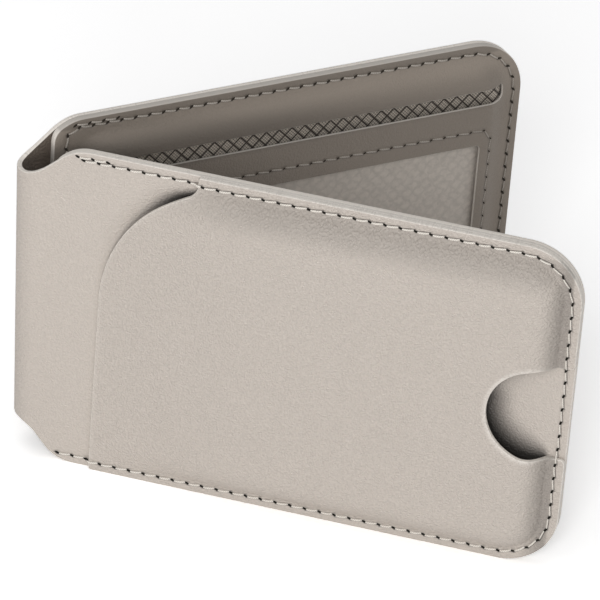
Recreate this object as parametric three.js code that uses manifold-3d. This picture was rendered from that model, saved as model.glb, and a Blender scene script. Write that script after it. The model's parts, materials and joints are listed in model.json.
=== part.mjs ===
import * as THREE from "three";
import { mergeVertices } from "three/addons/utils/BufferGeometryUtils.js";
import Module from "manifold-3d";

// Folding magnetic phone card holder, in millimetres, +Z up.
// It stands half open on its long edges. The front flap lies along X with its outer face
// towards -Y. The back panel, whose outer face holds to a phone, is turned about Z.
// The origin is under the middle of the standing holder.

// Panels
const FREE_END = 14.7; // from the alignment magnet to the back panel's free edge
const THUMB_OVERHANG = 1.6; // how far the front flap reaches past the back panel
const CORNER_RADIUS = 10.6;
const OPEN_ANGLE = THREE.MathUtils.degToRad(42.9);

// Fold between the panels
const BEND_RADIUS = 4.5; // of the leather's outer face, as the holder stands
const NECK_LENGTH = 5.3; // from the shoulder to the line where the leather starts to bend
const SHOULDER_CHAMFER = 6.4; // how far the long edges step in towards the fold
const SHOULDER_ROUND = 3; // length of each side of the rounded shoulder corner
const FOLD_SPLIT_GAP = 0.3; // between the fold strip and each panel's cover

// Layers
const GLUE_LINE = 0.1;
const COVER_LEATHER = 0.9;
const POCKET_LEATHER = 0.8;
const FRONT_LINING_LEATHER = 0.8;
const WINDOW_PANEL_LEATHER = 1.0;
const POCKET_LINING_FABRIC = 0.2;
const WINDOW_FILM = 0.15;
const FRONT_BOARD = 0.9;
const BACK_BOARD = 1.4;
const BACK_SLOT_SPACE = 0.8; // free depth behind the slotted leather
const CLOSED_CLEARANCE = 0.3; // between the two inner faces when the holder is shut

// Seams and moulded forms
const SEAM_MARGIN = 1.6; // from a leather edge to its line of stitches
const LINING_OVERHANG = 2.9; // how far the linings reach past the shoulder
const PLATEAU_RISE = 3.4; // of the card pocket, over its stitched border
const PLATEAU_WALL = 3.6; // width of the pocket's moulded side
const PLATEAU_INSET = 1.4; // from the stitches to the foot of that side
const PLATEAU_RAMP = 30; // over which the pocket rises from its open edge
const PADDED_WALL = 2.6; // width of the padded slopes inside the seams
const PADDED_INSET = 0.8; // from the stitches to the foot of those slopes

// Card pocket on the front flap
const POCKET_START = 7; // its open edge, from the shoulder
const POCKET_ARC_RADIUS = 27.4;
const POCKET_ARC_FILLET = 2.4;
const POCKET_ARC_END = 23.7; // where the arc reaches the upper edge, from the shoulder
const NOTCH_RADIUS = 9.3;
const NOTCH_CENTRE_INSET = 5; // from the free edge to the middle of the thumb notch

// Slot and window in the back panel's inner leather
const SLOT_HEIGHT = 3;
const SLOT_DROP = 8.5; // from the upper edge to the slot
const SLOT_SEAM_GAP = 1.7; // from the seam to each end of the slot
const WINDOW_DROP = 19.9;
const WINDOW_SIDE_MARGIN = 8.9;
const WINDOW_LEFT_MARGIN = 10.8;
const WINDOW_CORNER = 1.5;
const FILM_LAP = 2.6; // behind the leather at the sides and bottom of the window
const FILM_TOP_LAP = 3.6;

// Magnets
const RING_START = 7; // from the shoulder to the magnet ring
const RING_OUTER_RADIUS = 27;
const RING_WIDTH = 4;
const RING_MAGNETS = 18;
const RING_MAGNET_GAP = 0.3;
const MAGNET_THICKNESS = 0.9;
const SHIELD_THICKNESS = 0.4;
const ALIGNMENT_GAP = 10; // from the ring to the alignment magnet
const ALIGNMENT_LENGTH = 20;
const ALIGNMENT_WIDTH = 6;
const CLOSURE_MAGNET_LENGTH = 10;
const CLOSURE_MAGNET_WIDTH = 5;
const CLOSURE_MAGNET_INSET = 9.7; // from the back panel's free edge to its middle
const CLOSURE_MAGNET_MARGIN = 10.1; // from a long edge to its end
const INSERT_CLEARANCE = 0.2; // round everything let into a board

// Boards
const BOARD_CLEARANCE = 0.3; // from a board's edge to the padded slope round it
const BOARD_CORNER = 4;

const CUT_OVERRUN = 2;

// Steps in the curved surfaces
const FOLD_STEPS = 16;
const WALL_STEPS = 5;
const RAMP_STEPS = 8;
const CORNER_STEPS = 7;

// The panels are as tall as the magnet ring between its padded slopes and seams, and as long
// as the ring, the alignment magnet and the free end beyond it. Lengths run from the shoulder.
const panelHeight = 2 * (SEAM_MARGIN + PADDED_INSET + PADDED_WALL + GLUE_LINE + RING_OUTER_RADIUS);
const ringCentre = RING_START + RING_OUTER_RADIUS;
const alignmentCentre = ringCentre + RING_OUTER_RADIUS + ALIGNMENT_GAP + ALIGNMENT_WIDTH / 2;
const backLength = alignmentCentre + ALIGNMENT_WIDTH / 2 + FREE_END;
const frontLength = backLength + THUMB_OVERHANG;
const middle = panelHeight / 2;

// Depths are measured from a cover's outer face towards the inside of the holder.
const insideCover = COVER_LEATHER + GLUE_LINE;
const backFabricFace = insideCover + POCKET_LINING_FABRIC;
const backLeatherFace = backFabricFace + GLUE_LINE;
const backBorder = backLeatherFace + WINDOW_PANEL_LEATHER;
const frontBorder = insideCover + FRONT_LINING_LEATHER;
const frontLiningRise = FRONT_BOARD + GLUE_LINE;
const pocketLiningRise = BACK_BOARD + GLUE_LINE;
const windowPanelRise = pocketLiningRise + BACK_SLOT_SPACE - GLUE_LINE;
const frontThickness = frontBorder + frontLiningRise;
const backThickness = backBorder + windowPanelRise;
const closedThickness = frontThickness + CLOSED_CLEARANCE + backThickness;

// The two outer faces meet, in plan, at an apex beyond the fold, where this model is drawn.
const halfAngle = OPEN_ANGLE / 2;
const apexToBend = BEND_RADIUS / Math.tan(halfAngle);
const apexToShoulder = apexToBend + NECK_LENGTH;

// The panels turn about two vertical lines on their outer faces, as far apart as the shut
// holder is thick, so that the panels lie parallel when it is shut.
const apexToHinge = closedThickness / 2 / Math.sin(halfAngle);

const wasm = await Module();
wasm.setup();

function closedMesh(geometry) {
  geometry.deleteAttribute("normal");
  geometry.deleteAttribute("uv");
  return mergeVertices(geometry);
}

function toManifold(geometry) {
  const merged = closedMesh(geometry);
  return new wasm.Manifold(
    new wasm.Mesh({
      numProp: 3,
      vertProperties: new Float32Array(merged.attributes.position.array),
      triVerts: new Uint32Array(merged.index.array),
    })
  );
}

function toGeometry(manifold) {
  const mesh = manifold.getMesh();
  const geometry = new THREE.BufferGeometry();
  geometry.setAttribute("position", new THREE.BufferAttribute(mesh.vertProperties, 3));
  geometry.setIndex(new THREE.BufferAttribute(mesh.triVerts, 1));
  return geometry;
}

function cut(geometry, ...cutters) {
  return toGeometry(cutters.reduce((left, c) => left.subtract(toManifold(c)), toManifold(geometry)));
}

function trim(geometry, outline) {
  return toGeometry(toManifold(geometry).intersect(toManifold(outline)));
}

// A flat sheet in the (u, z) plane, between two depths on the third axis.
function sheet(shape, near, far, curveSegments = 10) {
  const options = { depth: far - near, bevelEnabled: false, curveSegments };
  return new THREE.ExtrudeGeometry(shape, options).translate(0, 0, near);
}

// The upper half of a raised area's edge, at an inset from that edge: its square corner beside
// the fold, its straight side at the given places, and its round corner at the free edge.
function upperEdge({ left, right, high, corner }, places, inset) {
  const turned = Array.from({ length: CORNER_STEPS + 1 }, (_, k) => {
    const angle = ((k / CORNER_STEPS) * Math.PI) / 2;
    return [
      right - corner + (corner - inset) * Math.sin(angle),
      high - corner + (corner - inset) * Math.cos(angle),
    ];
  });
  return [[left + inset, high - inset], ...places.map((u) => [u, high - inset]), ...turned];
}

// A moulded sheet that is raised inside a rounded box, between two faces. A face is a function
// that gives the point over a place u and an inset, as a shifted inset and a depth. The sheet
// is a grid of columns, which run in from the upper edge and out again to the lower edge.
function mouldedSheet(box, places, insets, near, far) {
  const across = 2 * insets.length;
  const columns = [null, ...places, ...Array(CORNER_STEPS + 1).fill(null)];
  const facePoints = (face) =>
    columns.flatMap((_, i) => {
      const upper = insets.map((inset) => {
        const [u] = upperEdge(box, places, inset)[i];
        const [shifted, depth] = face(u, inset);
        return [...upperEdge(box, places, shifted)[i], depth];
      });
      return [...upper, ...upper.toReversed().map(([u, z, depth]) => [u, panelHeight - z, depth])];
    });
  const nearPoints = facePoints(near);
  const count = nearPoints.length;
  const triangles = [];
  const quad = (a, b, c, d) => triangles.push(a, b, c, a, c, d);
  const patch = (...corners) => {
    const [a, b, c, d] = corners.map(([i, j]) => i * across + j);
    quad(d, c, b, a);
    quad(a + count, b + count, c + count, d + count);
  };
  const last = columns.length - 1;
  for (let i = 0; i < last; i++) {
    for (let j = 0; j < across - 1; j++) patch([i, j], [i, j + 1], [i + 1, j + 1], [i + 1, j]);
  }
  for (let j = 0; j < insets.length - 1; j++) {
    const k = across - 1 - j;
    patch([0, j], [0, k], [0, k - 1], [0, j + 1]);
    patch([last, j + 1], [last, k - 1], [last, k], [last, j]);
  }
  const lower = columns.map((_, i) => i * across + across - 1);
  const upper = columns.map((_, i) => i * across).toReversed();
  const outline = [...lower, ...upper];
  outline.forEach((a, k) => {
    const b = outline[(k + 1) % outline.length];
    quad(a, b, b + count, a + count);
  });
  const geometry = new THREE.BufferGeometry();
  const points = [...nearPoints, ...facePoints(far)];
  geometry.setAttribute("position", new THREE.Float32BufferAttribute(points.flat(), 3));
  geometry.setIndex(triangles);
  return geometry;
}

const spread = (start, end, steps) =>
  Array.from({ length: steps + 1 }, (_, k) => start + ((end - start) * k) / steps);

const share = (value) => THREE.MathUtils.clamp(value, 0, 1);

// A padded slope: soft at its foot and at the top.
const paddedShare = (inset) => THREE.MathUtils.smoothstep(inset, 0, PADDED_WALL);

// Outlines

// A panel's outline: straight long edges, round outer corners, and sloping shoulders that
// step in towards the fold at 45 degrees. start is the end beside the fold.
function panelShape(length, start) {
  const high = panelHeight;
  const radius = CORNER_RADIUS;
  const slant = SHOULDER_ROUND * Math.SQRT1_2;
  const shape = new THREE.Shape();
  shape.moveTo(start, -start);
  shape.lineTo(-slant, slant);
  shape.quadraticCurveTo(0, 0, SHOULDER_ROUND, 0);
  shape.lineTo(length - radius, 0);
  shape.absarc(length - radius, radius, radius, -Math.PI / 2, 0);
  shape.lineTo(length, high - radius);
  shape.absarc(length - radius, high - radius, radius, 0, Math.PI / 2);
  shape.lineTo(SHOULDER_ROUND, high);
  shape.quadraticCurveTo(0, high, -slant, high - slant);
  shape.lineTo(start, high + start);
  shape.closePath();
  return shape;
}

function roundedRectangle(left, right, low, high, radius) {
  const shape = new THREE.Shape();
  shape.moveTo(left + radius, low);
  shape.lineTo(right - radius, low);
  shape.absarc(right - radius, low + radius, radius, -Math.PI / 2, 0);
  shape.lineTo(right, high - radius);
  shape.absarc(right - radius, high - radius, radius, 0, Math.PI / 2);
  shape.lineTo(left + radius, high);
  shape.absarc(left + radius, high - radius, radius, Math.PI / 2, Math.PI);
  shape.lineTo(left, low + radius);
  shape.absarc(left + radius, low + radius, radius, Math.PI, (Math.PI * 3) / 2);
  return shape;
}

// The card pocket's outline: its open edge runs up from the bottom, sweeps over in a large
// arc, and turns up again through a small fillet to meet the upper edge.
function pocketShape() {
  const end = frontLength;
  const high = panelHeight;
  const radius = CORNER_RADIUS;
  const arcU = POCKET_START + POCKET_ARC_RADIUS;
  const filletU = POCKET_ARC_END - POCKET_ARC_FILLET;
  const filletZ = high - SEAM_MARGIN;
  const centreSpan = POCKET_ARC_RADIUS + POCKET_ARC_FILLET;
  const arcZ = filletZ - Math.sqrt(centreSpan ** 2 - (arcU - filletU) ** 2);
  const turn = Math.atan2(filletZ - arcZ, filletU - arcU);
  const shape = new THREE.Shape();
  shape.moveTo(POCKET_START, 0);
  shape.lineTo(end - radius, 0);
  shape.absarc(end - radius, radius, radius, -Math.PI / 2, 0);
  shape.lineTo(end, high - radius);
  shape.absarc(end - radius, high - radius, radius, 0, Math.PI / 2);
  shape.lineTo(POCKET_ARC_END, high);
  shape.lineTo(POCKET_ARC_END, filletZ);
  shape.absarc(filletU, filletZ, POCKET_ARC_FILLET, 0, turn - Math.PI, true);
  shape.absarc(arcU, arcZ, POCKET_ARC_RADIUS, turn, Math.PI);
  shape.closePath();
  return shape;
}

// The thumb notch: half a circle that runs out through the free edge.
function notchShape() {
  const centre = frontLength - NOTCH_CENTRE_INSET;
  const shape = new THREE.Shape();
  shape.moveTo(frontLength + CUT_OVERRUN, middle - NOTCH_RADIUS);
  shape.lineTo(frontLength + CUT_OVERRUN, middle + NOTCH_RADIUS);
  shape.lineTo(centre, middle + NOTCH_RADIUS);
  shape.absarc(centre, middle, NOTCH_RADIUS, Math.PI / 2, (Math.PI * 3) / 2);
  shape.closePath();
  return shape;
}

function ringSector(inner, outer, from, to) {
  const shape = new THREE.Shape();
  shape.absarc(ringCentre, middle, outer, from, to);
  shape.absarc(ringCentre, middle, inner, to, from, true);
  shape.closePath();
  return shape;
}

function disc(radius) {
  return new THREE.Shape().absarc(ringCentre, middle, radius, 0, Math.PI * 2);
}

// A bar across the panel, centred at u and z.
function bar(u, z, width, height, grow = 0) {
  const shape = new THREE.Shape();
  const halfWidth = width / 2 + grow;
  const halfHeight = height / 2 + grow;
  shape.moveTo(u - halfWidth, z - halfHeight);
  shape.lineTo(u + halfWidth, z - halfHeight);
  shape.lineTo(u + halfWidth, z + halfHeight);
  shape.lineTo(u - halfWidth, z + halfHeight);
  shape.closePath();
  return shape;
}

// Foot of a raised area that lies inside the seam by the given inset.
function raisedBox(length, left, inset) {
  const margin = SEAM_MARGIN + inset;
  return {
    left,
    right: length - margin,
    low: margin,
    high: panelHeight - margin,
    corner: CORNER_RADIUS - margin,
  };
}

const seamLeft = SEAM_MARGIN - LINING_OVERHANG;
const frontPaddedBox = raisedBox(frontLength, seamLeft + PADDED_INSET, PADDED_INSET);
const backPaddedBox = raisedBox(backLength, seamLeft + PADDED_INSET, PADDED_INSET);

// A padded leather or fabric sheet that is raised inside its seam.
function paddedSheet(box, length, nearDepth, thickness, rise) {
  const insets = [-SEAM_MARGIN - PADDED_INSET - CUT_OVERRUN, ...spread(0, PADDED_WALL, WALL_STEPS)];
  const near = (u, inset) => [inset, nearDepth + rise * paddedShare(inset)];
  const far = (u, inset) => [inset, near(u, inset)[1] + thickness];
  const form = mouldedSheet(box, [], insets, near, far);
  const outline = panelShape(length, -LINING_OVERHANG);
  return trim(form, sheet(outline, -CUT_OVERRUN, backThickness + CUT_OVERRUN));
}

// Pieces of the front flap

// The card pocket is moulded up from its stitched border: a sharp crease, a steep side that
// rounds over into the flat face, and a long ramp up from the open edge. The leather has the
// same thickness everywhere, so its inner face is set off square to the outer one. The form
// runs on past the open edge, where the outline trims it.
function cardPocket() {
  const rampEnd = POCKET_START + PLATEAU_RAMP;
  const box = raisedBox(frontLength, POCKET_START - PLATEAU_RAMP, PLATEAU_INSET);
  const rise = (u) => PLATEAU_RISE * THREE.MathUtils.smoothstep(u, POCKET_START, rampEnd);
  const turn = (inset) => (share(inset / PLATEAU_WALL) * Math.PI) / 2;
  const steepness = Math.PI / 2 / PLATEAU_WALL;
  const outer = (u, inset) => [
    inset,
    -GLUE_LINE - POCKET_LEATHER - rise(u) * Math.sin(turn(inset)),
  ];
  const inner = (u, inset) => {
    const tilt = inset < 0 ? 0 : Math.atan(rise(u) * steepness * Math.cos(turn(inset)));
    const crease = inset <= 0;
    const aside = crease ? Math.tan(tilt / 2) : Math.sin(tilt);
    const below = crease ? 1 : Math.cos(tilt);
    return [inset + POCKET_LEATHER * aside, outer(u, inset)[1] + POCKET_LEATHER * below];
  };
  const places = spread(POCKET_START, rampEnd, RAMP_STEPS);
  const insets = [
    -SEAM_MARGIN - PLATEAU_INSET - CUT_OVERRUN,
    ...spread(0, PLATEAU_WALL, WALL_STEPS),
  ];
  const form = mouldedSheet(box, places, insets, outer, inner);
  const top = -PLATEAU_RISE - POCKET_LEATHER - CUT_OVERRUN;
  const outlined = trim(form, sheet(pocketShape(), top, CUT_OVERRUN, 16));
  return cut(outlined, sheet(notchShape(), top, CUT_OVERRUN, 20));
}

function cover(length) {
  const start = FOLD_SPLIT_GAP / 2 - NECK_LENGTH;
  return sheet(panelShape(length, start), 0, COVER_LEATHER);
}

const frontLining = () =>
  paddedSheet(frontPaddedBox, frontLength, insideCover, FRONT_LINING_LEATHER, frontLiningRise);

function boardShape(box) {
  const reach = PADDED_WALL + BOARD_CLEARANCE;
  return roundedRectangle(
    box.left + reach,
    box.right - reach,
    box.low + reach,
    box.high - reach,
    BOARD_CORNER
  );
}

const closureLow = CLOSURE_MAGNET_MARGIN + CLOSURE_MAGNET_LENGTH / 2;
const closureHeights = [closureLow, panelHeight - closureLow];

const closureBar = (z, grow) =>
  bar(backLength - CLOSURE_MAGNET_INSET, z, CLOSURE_MAGNET_WIDTH, CLOSURE_MAGNET_LENGTH, grow);

function frontBoard() {
  const shape = boardShape(frontPaddedBox);
  shape.holes = closureHeights.map((z) => closureBar(z, INSERT_CLEARANCE));
  return sheet(shape, insideCover, insideCover + FRONT_BOARD);
}

// Pieces of the back panel

const alignmentBar = (grow) =>
  bar(alignmentCentre, middle, ALIGNMENT_WIDTH, ALIGNMENT_LENGTH, grow);

const magnetFar = insideCover + MAGNET_THICKNESS;
const ringInnerRadius = RING_OUTER_RADIUS - RING_WIDTH;

// The magnet ring is as wide as the board, so it splits the board in two. side is -1 for
// the half beside the fold and 1 for the half at the free edge.
function backBoard(side) {
  const shape = boardShape(backPaddedBox);
  shape.holes = [
    alignmentBar(INSERT_CLEARANCE),
    ...closureHeights.map((z) => closureBar(z, INSERT_CLEARANCE)),
  ];
  const board = sheet(shape, insideCover, insideCover + BACK_BOARD);
  const otherHalf = bar(ringCentre - (side * backLength) / 2, middle, backLength, panelHeight);
  const ringHole = disc(RING_OUTER_RADIUS + INSERT_CLEARANCE);
  return cut(board, sheet(otherHalf, 0, backThickness), sheet(ringHole, 0, backThickness, 20));
}

const boardDisc = () =>
  sheet(disc(ringInnerRadius - INSERT_CLEARANCE), insideCover, insideCover + BACK_BOARD, 20);

function magnetShield() {
  const shape = disc(RING_OUTER_RADIUS);
  shape.holes = [disc(ringInnerRadius)];
  return sheet(shape, magnetFar + GLUE_LINE, magnetFar + GLUE_LINE + SHIELD_THICKNESS, 20);
}

function ringMagnet(index) {
  const pitch = (Math.PI * 2) / RING_MAGNETS;
  const halfGap = RING_MAGNET_GAP / (RING_OUTER_RADIUS + ringInnerRadius);
  const from = index * pitch + halfGap;
  const shape = ringSector(ringInnerRadius, RING_OUTER_RADIUS, from, from + pitch - 2 * halfGap);
  return sheet(shape, insideCover, magnetFar, 4);
}

const pocketLining = () =>
  paddedSheet(backPaddedBox, backLength, insideCover, POCKET_LINING_FABRIC, pocketLiningRise);

const windowRight = backLength - WINDOW_SIDE_MARGIN;
const windowHigh = panelHeight - WINDOW_DROP;

function windowFilm() {
  const shape = roundedRectangle(
    WINDOW_LEFT_MARGIN - FILM_LAP,
    windowRight + FILM_LAP,
    WINDOW_SIDE_MARGIN - FILM_LAP,
    windowHigh + FILM_TOP_LAP,
    WINDOW_CORNER
  );
  const far = backLeatherFace + windowPanelRise - GLUE_LINE;
  return sheet(shape, far - WINDOW_FILM, far);
}

function windowPanel() {
  const form = paddedSheet(
    backPaddedBox,
    backLength,
    backLeatherFace,
    WINDOW_PANEL_LEATHER,
    windowPanelRise
  );
  const slot = roundedRectangle(
    seamLeft + SLOT_SEAM_GAP,
    backLength - SEAM_MARGIN - SLOT_SEAM_GAP,
    panelHeight - SLOT_DROP - SLOT_HEIGHT,
    panelHeight - SLOT_DROP,
    SLOT_HEIGHT / 2
  );
  const window = roundedRectangle(
    WINDOW_LEFT_MARGIN,
    windowRight,
    WINDOW_SIDE_MARGIN,
    windowHigh,
    WINDOW_CORNER
  );
  const far = backThickness + CUT_OVERRUN;
  return cut(form, sheet(slot, 0, far, 6), sheet(window, 0, far, 4));
}

// The fold: a strip of the cover's leather, bent round between the two bend lines. At each
// station along the bend it has its full thickness, and its ends carry on the shoulders.
function foldLeather() {
  const centre = BEND_RADIUS / Math.sin(halfAngle);
  const arcLength = BEND_RADIUS * (Math.PI - OPEN_ANGLE);
  const split = FOLD_SPLIT_GAP / 2;
  const shoulderEnd = SHOULDER_CHAMFER - NECK_LENGTH;
  const stations = [
    split,
    ...spread(shoulderEnd, arcLength - shoulderEnd, FOLD_STEPS),
    arcLength - split,
  ];
  const points = stations.flatMap((along) => {
    const angle = -Math.PI / 2 - along / BEND_RADIUS;
    const fromBend = Math.min(along, arcLength - along);
    const low = Math.min(NECK_LENGTH + fromBend, SHOULDER_CHAMFER);
    const at = (radius, z) => [
      centre * Math.cos(halfAngle) + radius * Math.cos(angle),
      centre * Math.sin(halfAngle) + radius * Math.sin(angle),
      z,
    ];
    const inner = BEND_RADIUS - COVER_LEATHER;
    const high = panelHeight - low;
    return [at(BEND_RADIUS, low), at(BEND_RADIUS, high), at(inner, high), at(inner, low)];
  });
  const triangles = [];
  const quad = (a, b, c, d) => triangles.push(a, b, c, a, c, d);
  const last = stations.length - 1;
  for (let i = 0; i < last; i++) {
    for (let side = 0; side < 4; side++) {
      const next = (side + 1) % 4;
      quad(4 * i + side, 4 * i + next, 4 * i + 4 + next, 4 * i + 4 + side);
    }
  }
  quad(3, 2, 1, 0);
  quad(4 * last, 4 * last + 1, 4 * last + 2, 4 * last + 3);
  const geometry = new THREE.BufferGeometry();
  geometry.setAttribute("position", new THREE.Float32BufferAttribute(points.flat(), 3));
  geometry.setIndex(triangles);
  return geometry;
}

// Placing

function signedVolume(geometry) {
  const corner = [0, 1, 2].map(() => new THREE.Vector3());
  const { index, attributes } = geometry;
  let six = 0;
  for (let k = 0; k < index.count; k += 3) {
    corner.forEach((point, n) => point.fromBufferAttribute(attributes.position, index.getX(k + n)));
    six += corner[0].dot(corner[1].clone().cross(corner[2]));
  }
  return six;
}

function facingOut(geometry) {
  const merged = closedMesh(geometry);
  if (signedVolume(merged) < 0) merged.index.array.reverse();
  merged.computeVertexNormals();
  return merged;
}

// Stands a sheet up in its panel: inward is 1 where depth runs along the panel's +Y, and -1
// where it runs along its -Y.
function standUp(geometry, inward) {
  const turn = new THREE.Matrix4().set(1, 0, 0, 0, 0, 0, inward, 0, 0, 1, 0, 0, 0, 0, 0, 1);
  return geometry.applyMatrix4(turn);
}

const leather = (color) =>
  new THREE.MeshStandardMaterial({ color, roughness: 0.6, metalness: 0 });
const MATERIALS = {
  leather: leather(0xc5bcb3),
  lining: leather(0x9a8f84),
  board: new THREE.MeshStandardMaterial({ color: 0x6e655a, roughness: 0.9, metalness: 0 }),
  fabric: new THREE.MeshStandardMaterial({ color: 0x8b847b, roughness: 0.9, metalness: 0 }),
  film: new THREE.MeshStandardMaterial({
    color: 0xd8d5cf,
    roughness: 0.4,
    metalness: 0,
    transparent: true,
    opacity: 0.4,
  }),
  magnet: new THREE.MeshStandardMaterial({ color: 0xb4b6b8, roughness: 0.3, metalness: 1 }),
  steel: new THREE.MeshStandardMaterial({ color: 0xa3a6a8, roughness: 0.4, metalness: 1 }),
};

function piece(name, geometry, material) {
  const mesh = new THREE.Mesh(facingOut(geometry), MATERIALS[material]);
  mesh.name = name;
  return mesh;
}

function panel(angle, inward, pieces) {
  const group = new THREE.Group();
  group.position.set(apexToShoulder * Math.cos(angle), apexToShoulder * Math.sin(angle), 0);
  group.rotation.z = angle;
  for (const [name, geometry, material] of pieces) {
    group.add(piece(name, standUp(closedMesh(geometry), inward), material));
  }
  return group;
}

const closureMagnets = (panelName) =>
  closureHeights.map((z, k) => [
    `closure_magnet_${panelName}_${k ? "upper" : "lower"}`,
    sheet(closureBar(z, 0), insideCover, magnetFar),
    "magnet",
  ]);

const ringMagnets = Array.from({ length: RING_MAGNETS }, (_, k) => [
  `ring_magnet_${String(k + 1).padStart(2, "0")}`,
  ringMagnet(k),
  "magnet",
]);

const holder = new THREE.Group();
holder.add(
  panel(0, 1, [
    ["front_cover", cover(frontLength), "leather"],
    ["card_pocket", cardPocket(), "leather"],
    ["front_board", frontBoard(), "board"],
    ...closureMagnets("front"),
    ["front_lining", frontLining(), "lining"],
  ]),
  piece("fold_leather", foldLeather(), "leather"),
  panel(OPEN_ANGLE, -1, [
    ["back_cover", cover(backLength), "leather"],
    ...ringMagnets,
    ["magnet_shield", magnetShield(), "steel"],
    ["board_disc", boardDisc(), "board"],
    ["alignment_magnet", sheet(alignmentBar(0), insideCover, magnetFar), "magnet"],
    ["back_board_fold_side", backBoard(-1), "board"],
    ["back_board_free_side", backBoard(1), "board"],
    ...closureMagnets("back"),
    ["pocket_lining", pocketLining(), "fabric"],
    ["window_film", windowFilm(), "film"],
    ["window_panel", windowPanel(), "lining"],
  ])
);

const bounds = new THREE.Box3().setFromObject(holder);
const centre = bounds.getCenter(new THREE.Vector3());
holder.position.set(-centre.x, -centre.y, -bounds.min.z);

// The vertical lines that the flaps turn about, and how far each turns to shut, in radians.
holder.userData = {
  frontHinge: [apexToHinge - centre.x, -centre.y],
  backHinge: [
    apexToHinge * Math.cos(OPEN_ANGLE) - centre.x,
    apexToHinge * Math.sin(OPEN_ANGLE) - centre.y,
  ],
  turnToShut: halfAngle,
};

export default holder;
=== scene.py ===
"""Leather, stitching, window film and lining of a magnetic phone card holder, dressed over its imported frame."""

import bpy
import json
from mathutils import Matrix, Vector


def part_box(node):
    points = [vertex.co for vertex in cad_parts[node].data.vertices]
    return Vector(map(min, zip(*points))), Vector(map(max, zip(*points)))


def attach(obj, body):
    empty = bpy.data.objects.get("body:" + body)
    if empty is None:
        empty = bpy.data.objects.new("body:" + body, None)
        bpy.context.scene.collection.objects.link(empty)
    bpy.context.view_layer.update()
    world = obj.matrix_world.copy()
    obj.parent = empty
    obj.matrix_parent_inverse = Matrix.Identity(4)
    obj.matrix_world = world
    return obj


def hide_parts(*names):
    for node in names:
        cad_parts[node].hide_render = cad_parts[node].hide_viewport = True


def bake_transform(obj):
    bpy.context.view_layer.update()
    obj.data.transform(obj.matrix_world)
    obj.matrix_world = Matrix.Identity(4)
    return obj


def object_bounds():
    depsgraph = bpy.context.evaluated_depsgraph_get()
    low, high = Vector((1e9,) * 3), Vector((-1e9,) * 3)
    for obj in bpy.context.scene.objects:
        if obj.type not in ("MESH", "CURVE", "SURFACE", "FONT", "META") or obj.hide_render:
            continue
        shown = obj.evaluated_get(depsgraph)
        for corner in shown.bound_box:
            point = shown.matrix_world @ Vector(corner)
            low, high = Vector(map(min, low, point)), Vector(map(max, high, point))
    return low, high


bl_info = {
    "name": "Card holder dressing",
    "version": (1, 0, 0),
    "blender": (4, 5, 0),
    "location": "3D View > Sidebar > Card holder",
    "description": "Cuts, moulds and sews the leather of a folding card holder",
    "category": "Object",
}

import functools
import json
import math

import bpy
import numpy as np
from bpy.props import FloatProperty, FloatVectorProperty, PointerProperty
from mathutils import Matrix, Vector

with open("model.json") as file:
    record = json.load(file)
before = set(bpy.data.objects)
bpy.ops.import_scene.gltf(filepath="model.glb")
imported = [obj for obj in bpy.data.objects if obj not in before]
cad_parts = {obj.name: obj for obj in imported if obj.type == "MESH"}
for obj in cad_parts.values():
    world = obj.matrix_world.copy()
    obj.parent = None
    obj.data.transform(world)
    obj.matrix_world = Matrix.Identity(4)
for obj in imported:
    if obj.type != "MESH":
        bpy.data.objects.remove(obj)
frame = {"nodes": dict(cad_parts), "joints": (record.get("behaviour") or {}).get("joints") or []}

FRAME_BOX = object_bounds()
FLOOR = FRAME_BOX[0].z
HEIGHT = FRAME_BOX[1].z - FLOOR
HALF_OPENING = math.radians(frame["joints"][0]["range_deg"][1])
MM = 0.001

# Lesser lengths and shares of the shapes
FAR = -1  # a left side that lies well out of the way
LINING_JOIN = 1.2 * MM  # rounding where a lining ends in the fold
NOTCH_JOIN = 0.7 * MM  # rounding where the notch meets the free edge
SLOT_CORNER = 0.6  # radius of the slot's corners, as a share of half its height
WALL_POWER = 2.2  # how steeply the pocket's wall leaves its foot
DIP, DIP_REACH = 0.8 * MM, 2.4 * MM  # depth of the cover's dip beside the arc, and its reach
SWELL_START, SWELL_FOOT = -0.5 * MM, 2.4 * MM  # foot of a lining's swell: from the shoulder, and from the cut edges
FABRIC_SWELL, FABRIC_INSET = 1.5 * MM, 1.0 * MM  # of the woven lining: over the board, and from the leather's edge
FILM_DEPTH, FILM_LAP, FILM_TOP_LAP = 3.4 * MM, 2.6 * MM, 3.6 * MM  # in from the cover's face, and past the window
WINDOW_SEAM, WINDOW_SEAM_TOP = 2.2 * MM, 3.1 * MM  # from the window to its seam: beside and below it, and above it
SEAM_TURN = 2 * MM  # radius of the seams' corners next to the fold and round the window
SEAM_CLEAR = 0.6 * MM  # how much more than its inset the back seam keeps from the fold
GLUE_FILL = 0.9  # share of the glue line that the leather laid on it fills
FREE_END = 78 * MM  # from here to the free edge the grids are finer, for the notch
SLANT = -0.16 * MM  # how far a thread's ends lie to either side of its row
SLIVER = 1e-10  # smaller faces are left out, in square metres
LAMPS = (  # degrees round from the front and up, distance, width and height in metres
    ("key", -20, 5, 1.2, 0.9, 0.25), ("front", 14, 8, 1.1, 0.3, 0.14),
    ("raised", 7, 30, 1.1, 0.3, 0.3), ("top", -30, 76, 1.2, 0.9, 0.9),
)


def length(name, millimetres, description, least=0):
    """A length that the user can change, written in millimetres and kept in metres."""
    return FloatProperty(
        name=name, description=description, default=millimetres * MM, min=least, precision=5,
        unit="LENGTH", subtype="DISTANCE",
    )


def colour(name, value, description):
    """A colour that the user can change, in linear red, green and blue."""
    return FloatVectorProperty(
        name=name, description=description, default=value, size=3, min=0, max=1, subtype="COLOR",
    )


def watts(name, value, description):
    """A lamp's power that the user can change."""
    return FloatProperty(name=name, description=description, default=value, min=0, unit="POWER")


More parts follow.
